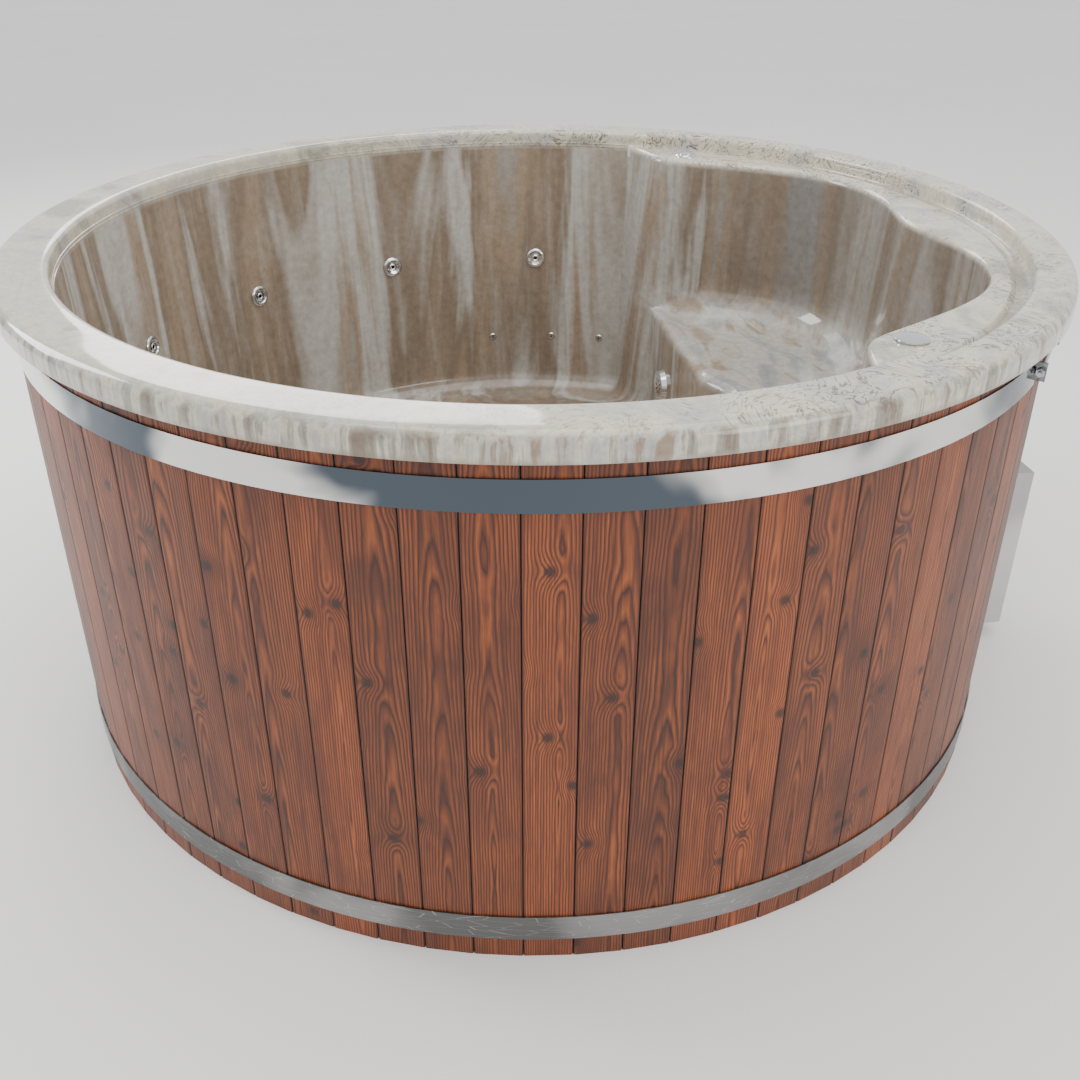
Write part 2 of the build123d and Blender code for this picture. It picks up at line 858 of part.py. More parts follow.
# Firebox: plate box open at the front, with rails for the grate and the baffle
flue_port_x = flue_back + port_shift
with BuildPart() as firebox:
    block((firebox_back, firebox_front), (firebox_left, firebox_right), (firebox_bottom, firebox_top))
    block(
        (firebox_front - 3, firebox_front),
        (firebox_left - flange_width, firebox_right + flange_width),
        (firebox_bottom - flange_width, firebox_top + flange_width),
    )
    block(
        (firebox_back + firebox_wall, firebox_front + 1),
        (mouth_left, mouth_right),
        (firebox_bottom + firebox_wall, mouth_top),
        Mode.SUBTRACT,
    )
    for side, inner in ((1, mouth_left), (-1, mouth_right)):
        rail = sorted((inner, inner + side * rail_size))
        back = firebox_back + firebox_wall
        block((back, firebox_front - grate_rail_stop), rail, (grate_bottom - rail_size, grate_bottom))
        shelf = mouth_top - baffle_drop
        block((back, firebox_front - baffle_rail_stop), rail, (shelf - rail_size, shelf))
    with BuildSketch(Plane.XZ.offset(-firebox_right - 1)):
        with Locations((flue_port_x, flue_height)):
            Circle(port_radius + weld_gap)
    extrude(amount=firebox_wall + 2, mode=Mode.SUBTRACT)
    with BuildSketch(Plane.YZ.offset(firebox_front - 4)):
        for z in (firebox_bottom - flange_width / 2, firebox_top + flange_width / 2):
            for y in (firebox_left + 20, (firebox_left + firebox_right) / 2, firebox_right - 20):
                with Locations((y, z)):
                    Circle(screw_radius + weld_gap)
        with Locations((flue_offset, flue_height)):
            Circle(flue_duct_radius + weld_gap)
    extrude(amount=5, mode=Mode.SUBTRACT)
save(firebox.part, "firebox")

with BuildPart() as grate:
    start = firebox_back + firebox_wall + 5
    block(
        (start, start + grate_length), (mouth_left + 1, mouth_right - 1),
        (grate_bottom, grate_bottom + grate_thick),
    )
    with BuildSketch(Plane.XY.offset(grate_bottom - 1)):
        spacing = (mouth_right - mouth_left - 2 * rail_size) / (grate_slots + 0.5)
        with Locations((start + grate_length / 2, firebox_shift)):
            with GridLocations(1, spacing, 1, grate_slots):
                SlotOverall(grate_length - 60, grate_slot)
    extrude(amount=grate_thick + 2, mode=Mode.SUBTRACT)
save(grate.part, "grate")

with BuildPart() as baffle:
    shelf = mouth_top - baffle_drop
    start = firebox_front - 90 - baffle_length
    block(
        (start, start + baffle_length), (mouth_left + 1, mouth_right - 1), (shelf, shelf + baffle_thick),
    )
save(baffle.part, "baffle")

# Flue: runs forward beside the firebox and ends in a spigot with a collar on the front
with BuildPart() as flue_duct:
    rod_along_x((flue_back, housing_front + 1), flue_offset, flue_height, flue_duct_radius)
    rod_along_x(
        (housing_front, housing_front + flue_collar_thick), flue_offset, flue_height,
        flue_collar_radius,
    )
    rod_along_x(
        (housing_front, housing_front + flue_spigot), flue_offset, flue_height, flue_radius,
    )
    with BuildSketch(Plane.XZ.offset(-firebox_right + firebox_wall)):
        with Locations((flue_port_x, flue_height)):
            Circle(port_radius)
    extrude(amount=-(flue_offset - firebox_right))
    rod_along_x(
        (flue_back + 3, housing_front + flue_spigot + 1), flue_offset, flue_height,
        flue_duct_radius - flue_wall, Mode.SUBTRACT,
    )
    with BuildSketch(Plane.XZ.offset(-firebox_right + firebox_wall + 1)):
        with Locations((flue_port_x, flue_height)):
            Circle(port_radius - flue_wall)
    extrude(amount=-(flue_offset - firebox_right), mode=Mode.SUBTRACT)
save(flue_duct.part, "flue_duct")

# Stove door with its rope seal, hinge, latch and air damper
with BuildPart() as stove_door:
    with BuildSketch(Plane.YZ.offset(door_back)):
        with Locations(((door_left + door_right) / 2, (door_bottom + door_top) / 2)):
            RectangleRounded(door_right - door_left, door_top - door_bottom, door_round)
    extrude(amount=door_thick)
    outer_edges = stove_door.faces().sort_by(Axis.X)[-1].outer_wire().edges()
    fillet(outer_edges, radius=door_thick / 4)
    for level in knuckle_levels:
        low = level - knuckle_length / 2
        with BuildSketch(Plane.XY.offset(low)):
            with Locations((hinge_x, hinge_y)):
                Circle(hinge_radius)
            with Locations(((hinge_x + door_front) / 2, (hinge_y + door_left) / 2)):
                Rectangle(door_front - hinge_x, door_left - hinge_y + 2)
        extrude(amount=knuckle_length)
        with BuildSketch(Plane.XY.offset(low)):
            with Locations((hinge_x, hinge_y)):
                Circle(hinge_pin_radius + run_gap)
        extrude(amount=knuckle_length, mode=Mode.SUBTRACT)
    with BuildSketch(Plane.YZ.offset(door_back)):
        with Locations((damper_offset, damper_level)):
            with PolarLocations(damper_ring, damper_holes):
                Circle(damper_hole)
            Circle(pivot_radius + weld_gap)
        with Locations((latch_offset, latch_level)):
            Circle(pivot_radius + weld_gap)
    extrude(amount=door_thick, mode=Mode.SUBTRACT)
save(stove_door.part, "stove_door")

with BuildPart() as door_gasket:
    with BuildSketch(Plane.YZ.offset(gasket_back)):
        with Locations(((door_left + door_right) / 2, (door_bottom + door_top) / 2)):
            margin = door_overlap - gasket_width - 1
            width = door_right - door_left - 2 * margin
            height = door_top - door_bottom - 2 * margin
            RectangleRounded(width, height, door_round)
            RectangleRounded(
                width - 2 * gasket_width, height - 2 * gasket_width, door_round / 3, mode=Mode.SUBTRACT,
            )
    extrude(amount=gasket_thick)
save(door_gasket.part, "door_gasket")

lug_length = knuckle_length / 2
with BuildPart() as hinge_lugs:
    for level in knuckle_levels:
        for side in (-1, 1):
            start = level + side * (knuckle_length / 2 + knuckle_gap)
            with BuildSketch(Plane.XY.offset(start)):
                with Locations((hinge_x, hinge_y)):
                    Circle(hinge_radius)
                with Locations(((housing_front + hinge_x) / 2, hinge_y)):
                    Rectangle(hinge_x - housing_front, 2 * hinge_radius)
                with Locations((hinge_x, hinge_y)):
                    Circle(hinge_pin_radius, mode=Mode.SUBTRACT)
            extrude(amount=side * lug_length)
save(hinge_lugs.part, "hinge_lugs")

with BuildPart() as hinge_pins:
    for level in knuckle_levels:
        low = level - knuckle_length / 2 - knuckle_gap - lug_length
        with BuildSketch(Plane.XY.offset(low)):
            with Locations((hinge_x, hinge_y)):
                Circle(hinge_pin_radius)
        extrude(amount=2 * (lug_length + knuckle_gap) + knuckle_length)
        with BuildSketch(Plane.XY.offset(low + 2 * (lug_length + knuckle_gap) + knuckle_length)):
            with Locations((hinge_x, hinge_y)):
                Circle(hinge_pin_radius + 1.5)
        extrude(amount=2)
save(hinge_pins.part, "hinge_pins")

latch_back = door_front + door_gap
latch_front = latch_back + latch_thick
with BuildPart() as door_latch:
    with BuildSketch(Plane.YZ.offset(latch_back)):
        with Locations((latch_offset, latch_level)):
            Circle(latch_width / 2)
        with Locations((latch_offset + latch_reach / 2, latch_level)):
            Rectangle(latch_reach, latch_width * 0.6)
        with Locations((latch_offset, latch_level + latch_arm / 2)):
            Rectangle(latch_width * 0.75, latch_arm)
        with Locations((latch_offset, latch_level)):
            Circle(pivot_radius + run_gap, mode=Mode.SUBTRACT)
    extrude(amount=latch_thick)
    stud_level = latch_level + latch_arm - grip_radius / 2
    rod_along_x((latch_front - 1, latch_front + 6), latch_offset, stud_level, pivot_radius)
save(door_latch.part, "door_latch")

with BuildPart() as latch_grip:
    with BuildSketch(Plane.YZ.offset(latch_front + 6)):
        with Locations((latch_offset, stud_level)):
            Circle(grip_radius)
    extrude(amount=grip_length)
    fillet(latch_grip.edges().filter_by(GeomType.CIRCLE), radius=grip_radius * 0.4)
save(latch_grip.part, "latch_grip")

keeper_start = door_right + 4
keeper_end = keeper_start + keeper_width
with BuildPart() as latch_keeper:
    block(
        (housing_front, latch_front + door_gap + keeper_lip), (keeper_start, keeper_start + keeper_lip),
        (latch_level - keeper_width, latch_level + keeper_width / 2),
    )
    block(
        (latch_front + door_gap, latch_front + door_gap + keeper_lip),
        (keeper_start - keeper_lip * 2, keeper_start + keeper_lip),
        (latch_level - keeper_width / 2, latch_level + keeper_width / 2),
    )
    block(
        (housing_front, housing_front + keeper_lip), (keeper_start, keeper_end),
        (latch_level - keeper_width, latch_level + keeper_width / 2),
    )
    block(
        (door_back, latch_front + door_gap), (keeper_start - 1, keeper_start + keeper_lip + 1),
        (latch_level - latch_width * 0.3 - 1, latch_level + latch_width * 0.3 + 20), Mode.SUBTRACT,
    )
save(latch_keeper.part, "latch_keeper")

with BuildPart() as air_damper:
    with BuildSketch(Plane.YZ.offset(door_front + door_gap)):
        with Locations((damper_offset, damper_level)):
            Circle(damper_radius)
            with PolarLocations(damper_ring, damper_holes):
                Circle(damper_hole, mode=Mode.SUBTRACT)
    extrude(amount=damper_thick)
    knob_base = door_front + door_gap + damper_thick
    rod_along_x((knob_base, knob_base + knob_height), damper_offset, damper_level, knob_radius)
    rod_along_x(
        (door_front, knob_base + knob_height + 1), damper_offset, damper_level, pivot_radius + run_gap,
        Mode.SUBTRACT,
    )
save(air_damper.part, "air_damper")

with BuildPart() as door_screws:
    knob_top = knob_base + knob_height + door_gap
    rod_along_x((door_back, knob_top), damper_offset, damper_level, pivot_radius)
    rod_along_x((knob_top, knob_top + 3), damper_offset, damper_level, screw_head_radius)
    rod_along_x((door_back, latch_front + door_gap), latch_offset, latch_level, pivot_radius)
    rod_along_x(
        (latch_front + door_gap, latch_front + door_gap + 3), latch_offset, latch_level,
        screw_head_radius,
    )
save(door_screws.part, "door_screws")

# Ash drawer under the grate
drawer_left = mouth_left + drawer_gap
drawer_right = mouth_right - drawer_gap
with BuildPart() as ash_drawer:
    block(
        (housing_front - drawer_length, housing_front + 1),
        (drawer_left, drawer_right), (drawer_bottom, drawer_top),
    )
    block(
        (housing_front - drawer_length + drawer_wall, housing_front - drawer_wall),
        (drawer_left + drawer_wall, drawer_right - drawer_wall),
        (drawer_bottom + drawer_wall, drawer_top + 1),
        Mode.SUBTRACT,
    )
    block(
        (housing_front + door_gap, housing_front + door_gap + drawer_front_thick),
        (drawer_left - 6, drawer_right + 6), (drawer_bottom - 5, drawer_top + 4),
    )
    face = housing_front + door_gap + drawer_front_thick
    middle = (drawer_bottom + drawer_top) / 2
    with BuildSketch(Plane.XY.offset(middle)):
        with Locations((face + 10, firebox_shift)):
            Rectangle(28, 90)
            Rectangle(16, 70, mode=Mode.SUBTRACT)
        with Locations((face - 4, firebox_shift)):
            Rectangle(8, 90, mode=Mode.SUBTRACT)
    extrude(amount=6)
save(ash_drawer.part, "ash_drawer")

# Threaded fittings in the riser, which join the jacket to the tub
with BuildPart() as circulation_fittings:
    for level in (hot_level, cold_level):
        rod_along_x((riser_face - flange_thick, riser_face), 0, level, flange_radius)
        tail = jacket_back + jacket_wall
        rod_along_x((riser_face - 1, tail), 0, level, pipe_radius)
        rod_along_x((riser_face - 1, tail + 1), 0, level, pipe_radius - pipe_wall, Mode.SUBTRACT)
        with BuildSketch(Plane.YZ.offset(riser_face - flange_thick - 1)):
            with Locations((0, level)):
                with GridLocations(11, 1, 3, 1):
                    SlotOverall(34, 7, rotation=90)
        extrude(amount=flange_thick + 1, mode=Mode.SUBTRACT)
save(circulation_fittings.part, "circulation_fittings")

with BuildPart() as suction_fittings:
    for side in (-1, 1):
        y = side * suction_offset
        with BuildSketch(Plane.YZ.offset(seat_front)):
            with Locations((y, suction_level)):
                Circle(suction_cover)
        extrude(amount=-suction_cover_height, taper=20)
        rod_along_x((seat_front - 1, seat_front + shell_wall + suction_tail), y, suction_level, pipe_radius)
        rod_along_x(
            (seat_front - suction_cover_height + 3, seat_front + shell_wall + suction_tail + 1),
            y, suction_level, pipe_radius - pipe_wall, Mode.SUBTRACT,
        )
        with BuildSketch(Plane.YZ.offset(seat_front - suction_cover_height - 1)):
            with Locations((y, suction_level)):
                with PolarLocations(18, 10):
                    SlotOverall(14, 4)
                Circle(4)
        extrude(amount=6, mode=Mode.SUBTRACT)
save(suction_fittings.part, "suction_fittings")

suction_end = seat_front + shell_wall + suction_tail


def suction_run(radius):
    bend = 2 * pipe_radius
    near = -suction_offset
    far = suction_offset
    with BuildPart() as run:
        with BuildLine():
            path = FilletPolyline(
                (suction_end, near, suction_level), (suction_back + bend / 2, near, suction_level),
                (suction_back + bend / 2, near, suction_cross_level),
                (suction_back + bend / 2, far, suction_cross_level),
                (suction_back + bend / 2, far, pump_level), (pump_front, far, pump_level),
                radius=[24, 24, 24, 19],
            )
        with BuildSketch(Plane(path @ 0, z_dir=path % 0)):
            Circle(radius)
        sweep()
        rod_along_x((suction_end, suction_back + bend / 2), far, suction_level, radius - feed_step)
    return run.part


pipe_inner = pipe_radius - 8
with BuildPart() as suction_pipes:
    add(suction_run(pipe_radius - 6))
    add(suction_run(pipe_inner), mode=Mode.SUBTRACT)
save(suction_pipes.part, "suction_pipes")

# Jets: the insert turns in the body to set its flow
with BuildPart() as jet_body:
    with BuildSketch(Plane.XZ):
        with BuildLine():
            room = jet_chamber_radius - jet_chamber_wall
            room_front = -jet_insert_depth - jet_insert_room
            room_back = -jet_chamber_back + jet_chamber_wall
            Polyline(
                (jet_bore, jet_flange_thick), (jet_flange, jet_flange_thick), (jet_flange, jet_seal),
                (jet_hole, jet_seal), (jet_hole, -jet_chamber_front),
                (jet_chamber_radius, -jet_chamber_front), (jet_chamber_radius, -jet_chamber_back),
                (0, -jet_chamber_back), (0, room_back), (room, room_back), (room, room_front),
                (jet_bore, room_front), close=True,
            )
        make_face()
    revolve(axis=Axis.Z)

with BuildPart() as jet_bodies:
    for angle in both_sides(jet_angles):
        with Locations(wall_plane(angle, jet_level)):
            add(jet_body.part)
        chamber = wall_plane(angle, jet_level).offset(-(jet_chamber_front + jet_chamber_back) / 2).origin
        with BuildSketch(Plane.XY.offset(water_ring_level + water_pipe - stub_entry)):
            with Locations(polar(ring_radius, angle)[:2]):
                Circle(water_stub)
        extrude(amount=chamber.Z - jet_chamber_radius + 2 - (water_ring_level + water_pipe - stub_entry))
        with BuildSketch(Plane.XY.offset(chamber.Z + jet_chamber_radius - 2)):
            with Locations(polar(air_ring_radius, angle)[:2]):
                Circle(air_stub)
        extrude(amount=air_ring_level - air_pipe + stub_entry / 2 - (chamber.Z + jet_chamber_radius - 2))
save(jet_bodies.part, "jet_bodies")

with BuildPart() as jet_insert:
    neck = jet_bore - run_gap
    base = jet_flange_thick + door_gap
    with BuildSketch(Plane.XZ):
        with BuildLine():
            Polyline((neck, base), (jet_face, base), (jet_face, base + 1))
            ThreePointArc(
                (jet_face, base + 1), (jet_face - 2.5, base + jet_face_height - 1),
                (jet_face - 7, base + jet_face_height),
            )
            Polyline(
                (jet_face - 7, base + jet_face_height), (jet_face - 9, base + 2), (neck - 2, base + 1),
                (neck - 2, -6), (8.5, -6), (8.5, base + 1.5), (6.5, base + 3), (4.5, base + 1.5),
                (4.5, -jet_insert_depth), (neck, -jet_insert_depth), (neck, base),
            )
        make_face()
    revolve(axis=Axis.Z)

jet_places = both_sides(jet_angles)
for number, angle in enumerate(jet_places):
    with BuildPart() as jet_nozzle:
        with Locations(wall_plane(angle, jet_level)):
            add(jet_insert.part)
    save(jet_nozzle.part, "jet_nozzle_" + str(number + 1))

# Small air injectors in the wall above the bench
with BuildPart() as injector:
    with BuildSketch(Plane.XZ):
        with BuildLine():
            Polyline(
                (2, injector_flange_thick), (injector_flange - 2, injector_flange_thick),
                (injector_flange, 1), (injector_flange, 0.3), (injector_radius, 0.3),
                (injector_radius, -shell_wall - 28), (2, -shell_wall - 28), close=True,
            )
        make_face()
    revolve(axis=Axis.Z)

with BuildPart() as air_injectors:
    for angle in both_sides(injector_angles):
        with Locations(wall_plane(angle, injector_level)):
            add(injector.part)
        with BuildSketch(Plane.XY.offset(injector_level)):
            with Locations(polar(injector_ring, angle)[:2]):
                Circle(injector_stub)
        extrude(amount=injector_ring_level - injector_level - injector_pipe_radius + 2)
save(air_injectors.part, "air_injectors")


def ring_pipe(start, end, radius, level, thick):
    with BuildPart() as ring:
        with BuildSketch(radial_plane(start)):
            with Locations((radius, level)):
                Circle(thick)
        revolve(axis=Axis.Z, revolution_arc=end - start)
    return ring.part


def swept_pipe(points, bends, thick):
    with BuildPart() as pipe:
        with BuildLine():
            path = FilletPolyline(*points, radius=bends)
        with BuildSketch(Plane(path @ 0, z_dir=path % 0)):
            Circle(thick)
        sweep()
    return pipe.part


pump_x = pump_front + pump_length / 2
pump_outlet = pump_level + pump_radius


def water_run(thick):
    top = polar(ring_radius, water_ring_start, water_ring_level)
    across = seat_under - water_pipe - 8
    with BuildPart() as run:
        add(ring_pipe(water_ring_start, water_ring_end, ring_radius, water_ring_level, thick))
        add(swept_pipe(
            [
                (pump_x, suction_offset, pump_outlet), (pump_x, suction_offset, across),
                (top[0], top[1], across), top,
            ],
            [24, 20], thick,
        ))
        with Locations(top):
            Sphere(thick + elbow_step)
    return run.part


with BuildPart() as water_manifold:
    add(water_run(water_pipe))
    add(water_run(water_pipe - pipe_wall_thin), mode=Mode.SUBTRACT)
    for angle in both_sides(jet_angles):
        with BuildSketch(Plane.XY.offset(water_ring_level)):
            with Locations(polar(ring_radius, angle)[:2]):
                Circle(water_stub + stub_gap)
        extrude(amount=water_pipe + 1, mode=Mode.SUBTRACT)
save(water_manifold.part, "water_manifold")

valve_bottom = ledge_under - control_depth


def air_run(thick):
    end = polar(air_ring_radius, air_ring_end, air_ring_level)
    drop = polar(control_radius, -control_angle, air_ring_level)
    with BuildPart() as run:
        add(ring_pipe(air_ring_start, air_ring_end, air_ring_radius, air_ring_level, thick))
        add(swept_pipe([polar(control_radius, -control_angle, valve_bottom), drop, end], [40], thick))
        with Locations(end):
            Sphere(thick + elbow_step)
    return run.part


with BuildPart() as jet_air_pipe:
    add(air_run(air_pipe))
    add(air_run(air_pipe - pipe_wall_thin), mode=Mode.SUBTRACT)
    for angle in both_sides(jet_angles):
        with BuildSketch(Plane.XY.offset(air_ring_level - air_pipe - 1)):
            with Locations(polar(air_ring_radius, angle)[:2]):
                Circle(air_stub + stub_gap)
        extrude(amount=air_pipe + 1, mode=Mode.SUBTRACT)
save(jet_air_pipe.part, "jet_air_pipe")

blower_angle = degrees(asin(blower_y / sqrt(blower_x ** 2 + blower_y ** 2)))
blower_top = deck_top + blower_height
injector_end = max(injector_angles) + 2


def injector_run(thick):
    inner = polar(injector_ring, blower_angle, injector_ring_level)
    with BuildPart() as run:
        add(ring_pipe(-injector_end, injector_end, injector_ring, injector_ring_level, thick))
        add(swept_pipe(
            [(blower_x, blower_y, blower_top), (blower_x, blower_y, injector_ring_level), inner],
            [40], thick - feed_step,
        ))
    return run.part


with BuildPart() as injector_pipe:
    add(injector_run(injector_pipe_radius))
    add(injector_run(injector_pipe_radius - pipe_wall_thin), mode=Mode.SUBTRACT)
    for angle in both_sides(injector_angles):
        with BuildSketch(Plane.XY.offset(injector_ring_level - injector_pipe_radius - 1)):
            with Locations(polar(injector_ring, angle)[:2]):
                Circle(injector_stub + stub_gap)
        extrude(amount=injector_pipe_radius, mode=Mode.SUBTRACT)
save(injector_pipe.part, "injector_pipe")

# Massage pump with its impeller
motor_front = pump_front + pump_length
with BuildPart() as pump:
    rod_along_x((pump_front, motor_front), suction_offset, pump_level, pump_radius)
    rod_along_x((motor_front, motor_front + motor_length), suction_offset, pump_level, motor_radius)
    for x in (pump_front + 15, motor_front + motor_length - 45):
        block(
            (x, x + 30), (suction_offset - 50, suction_offset + 50),
            (deck_top, pump_level - motor_radius / 2),
        )
    rod_along_x(
        (pump_front + pump_wall, motor_front - pump_wall), suction_offset, pump_level,
        pump_radius - pump_wall, Mode.SUBTRACT,
    )
    rod_along_x(
        (pump_front - 1, pump_front + pump_wall + 1), suction_offset, pump_level, pipe_inner,
        Mode.SUBTRACT,
    )
    rod_along_x(
        (motor_front - pump_wall - 1, motor_front + motor_length / 2), suction_offset, pump_level,
        shaft_radius + run_gap, Mode.SUBTRACT,
    )
    with BuildSketch(Plane.XY.offset(pump_level + pump_radius / 2)):
        with Locations((pump_x, suction_offset)):
            Circle(water_pipe - pipe_wall_thin)
    extrude(amount=pump_radius, mode=Mode.SUBTRACT)
    block(
        (pump_front - 1, motor_front + 1), (suction_offset - pump_radius, suction_offset + pump_radius),
        (pump_outlet - 2, pump_outlet + 2), Mode.SUBTRACT,
    )
save(pump.part, "pump")

with BuildPart() as pump_impeller:
    front = pump_front + pump_wall + impeller_gap
    back = motor_front - pump_wall - impeller_gap
    rod_along_x((back - 4, back), suction_offset, pump_level, impeller_radius)
    rod_along_x((front, back), suction_offset, pump_level, shaft_radius * 2)
    rod_along_x((back, motor_front + motor_length / 2 - 2), suction_offset, pump_level, shaft_radius)
    with BuildSketch(Plane.YZ.offset(front)):
        with Locations((suction_offset, pump_level)):
            with PolarLocations(impeller_radius / 2 + 4, vane_count):
                Rectangle(impeller_radius - 12, 4)
    extrude(amount=back - front)
save(pump_impeller.part, "pump_impeller")

# Air blower with its fan
with BuildPart() as blower:
    with BuildSketch(Plane.XY.offset(deck_top)):
        with Locations((blower_x, blower_y)):
            Circle(blower_radius)
    extrude(amount=blower_height)
    with BuildSketch(Plane.XY.offset(deck_top + blower_height - fan_height - 20)):
        with Locations((blower_x, blower_y)):
            Circle(blower_radius - 6)
    extrude(amount=fan_height + 14, mode=Mode.SUBTRACT)
    with BuildSketch(Plane.XY.offset(blower_top - 10)):
        with Locations((blower_x, blower_y)):
            Circle(injector_pipe_radius - pipe_wall_thin)
    extrude(amount=11, mode=Mode.SUBTRACT)
    with BuildSketch(Plane.XY.offset(deck_top + 20)):
        with Locations((blower_x, blower_y)):
            Circle(shaft_radius + run_gap)
    extrude(amount=blower_height - fan_height - 40, mode=Mode.SUBTRACT)
    for side in (-1, 1):
        with BuildSketch(Plane.XZ.offset(-blower_y)):
            with Locations((blower_x, deck_top + blower_height - fan_height)):
                SlotOverall(60, 12)
        extrude(amount=side * (blower_radius + 2), mode=Mode.SUBTRACT)
save(blower.part, "blower")

with BuildPart() as blower_fan:
    low = deck_top + blower_height - fan_height - 14
    with BuildSketch(Plane.XY.offset(low)):
        with Locations((blower_x, blower_y)):
            Circle(fan_radius)
    extrude(amount=3)
    with BuildSketch(Plane.XY.offset(low)):
        with Locations((blower_x, blower_y)):
            Circle(shaft_radius * 2)
            with PolarLocations(fan_radius - 14, 16):
                Rectangle(26, 2)
    extrude(amount=fan_height - 4)
    with BuildSketch(Plane.XY.offset(deck_top + 24)):
        with Locations((blower_x, blower_y)):
            Circle(shaft_radius)
    extrude(amount=low - deck_top - 24)
save(blower_fan.part, "blower_fan")

# Drain through the footwell wall and the boards
footwell_slope = (footwell_radius - floor_radius) / (bench_top - floor_top)
drain_face = floor_radius + footwell_slope * (drain_level - floor_top)
drain_lean = atan(footwell_slope)
with BuildPart() as drain_fitting:
    with BuildSketch(Plane.XZ.offset(-valve_start)):
        with Locations((0, drain_level)):
            Circle(drain_radius)
    extrude(amount=valve_start - drain_face + 3)
    flange_plane = Plane(
        origin=(0, drain_face, drain_level), x_dir=(-1, 0, 0),
        z_dir=(0, -cos(drain_lean), sin(drain_lean)),
    )
    with BuildSketch(flange_plane.offset(drain_flange ** 2 / (2 * drain_face))):
        Circle(drain_flange)
    extrude(amount=flange_thick)
    with BuildSketch(Plane.XZ.offset(-valve_start - 1)):
        with Locations((0, drain_level)):
            Circle(drain_radius - drain_wall)
    extrude(amount=valve_start - drain_face, mode=Mode.SUBTRACT)
    with BuildSketch(flange_plane.offset(-4)):
        with PolarLocations(10, 6):
            Circle(3)
        Circle(3)
    extrude(amount=12, mode=Mode.SUBTRACT)
save(drain_fitting.part, "drain_fitting")

valve_middle = valve_start + valve_length / 2
with BuildPart() as drain_valve:
    with BuildSketch(Plane.XZ.offset(-valve_start)):
        with Locations((0, drain_level)):
            Circle(valve_radius)
    extrude(amount=-valve_length)
    with Locations((0, valve_middle, drain_level)):
        Sphere(valve_radius * 1.15)
    with BuildSketch(Plane.XZ.offset(-valve_start + 1)):
        with Locations((0, drain_level)):
            Circle(drain_radius - drain_wall)
    extrude(amount=-valve_length - 2, mode=Mode.SUBTRACT)
    with BuildSketch(Plane.XZ.offset(-valve_middle + 12)):
        with Locations((0, drain_level)):
            Circle(drain_radius)
    extrude(amount=-24)
    block(
        (-valve_radius * 2, valve_radius * 2), (valve_start - 20, valve_start),
        (drain_level - 50, drain_level + 50), Mode.SUBTRACT,
    )
    with BuildSketch(Plane.XY.offset(drain_level + valve_radius - 4)):
        with Locations((0, valve_middle)):
            Circle(stem_radius + 5)
    extrude(amount=stem_height)
    with BuildSketch(Plane.XY.offset(drain_level + drain_radius)):
        with Locations((0, valve_middle)):
            Circle(stem_radius + run_gap)
    extrude(amount=valve_radius + stem_height, mode=Mode.SUBTRACT)
save(drain_valve.part, "drain_valve")

lever_level = drain_level + valve_radius - 4 + stem_height + rest_gap
with BuildPart() as drain_lever:
    with BuildSketch(Plane.XY.offset(lever_level)):
        with Locations((lever_length / 2, valve_middle)):
            SlotOverall(lever_length + lever_width, lever_width)
    extrude(amount=lever_thick)
    with BuildSketch(Plane.XY.offset(drain_level + drain_radius + 1)):
        with Locations((0, valve_middle)):
            Circle(stem_radius)
    extrude(amount=lever_level - drain_level - drain_radius)
save(drain_lever.part, "drain_lever")

# Air regulator on the ledge, near side
air_x, air_y, _ = polar(control_radius, -control_angle)
with BuildPart() as air_valve:
    with BuildSketch(Plane.XZ):
        with BuildLine():
            inner = injector_pipe_radius - pipe_wall_thin
            Polyline(
                (inner, ledge_top + control_flange_thick), (control_flange, ledge_top + control_flange_thick),
                (control_flange, ledge_top), (control_hole, ledge_top), (control_hole, valve_bottom),
                (inner, valve_bottom), close=True,
            )
        make_face()
    revolve(axis=Axis.Z)
save(air_valve.part.moved(Location((air_x, air_y, 0))), "air_valve")

knob_base_level = ledge_top + control_flange_thick + rest_gap
with BuildPart() as air_knob:
    with BuildSketch(Plane.XZ):
        with BuildLine():
            spindle = injector_pipe_radius - pipe_wall_thin - run_gap
            edge = knob_base_level + 2
            Polyline(
                (0, ledge_top - knob_spindle), (spindle, ledge_top - knob_spindle),
                (spindle, knob_base_level), (dome_radius, knob_base_level), (dome_radius, edge),
            )
            dome_top = ledge_top + dome_height
            dome_curve = (dome_radius ** 2 + (dome_top - edge) ** 2) / (2 * (dome_top - edge))
            shoulder = dome_top - dome_curve + sqrt(dome_curve ** 2 - dome_radius ** 2 / 4)
            ThreePointArc((dome_radius, edge), (dome_radius / 2, shoulder), (0, dome_top))
            Line((0, dome_top), (0, ledge_top - knob_spindle))
        make_face()
    revolve(axis=Axis.Z)
save(air_knob.part.moved(Location((air_x, air_y, 0))), "air_knob")

# Push button on the ledge, far side
button_x, button_y, _ = polar(control_radius, control_angle)
button_bore = button_radius - 6
cup_floor = ledge_top + 1
with BuildPart() as button_body:
    with BuildSketch(Plane.XZ):
        with BuildLine():
            ring = ledge_top + dome_height * 0.6
            Polyline(
                (button_radius + door_gap, cup_floor), (button_radius + door_gap, ring),
                (dome_radius - 4, ring), (dome_radius, ledge_top + 2), (dome_radius, ledge_top),
                (control_hole, ledge_top), (control_hole, valve_bottom + 20), (0, valve_bottom + 20),
                (0, valve_bottom + 23), (button_bore + run_gap, valve_bottom + 23),
                (button_bore + run_gap, cup_floor), close=True,
            )
        make_face()
    revolve(axis=Axis.Z)
save(button_body.part.moved(Location((button_x, button_y, 0))), "button_body")

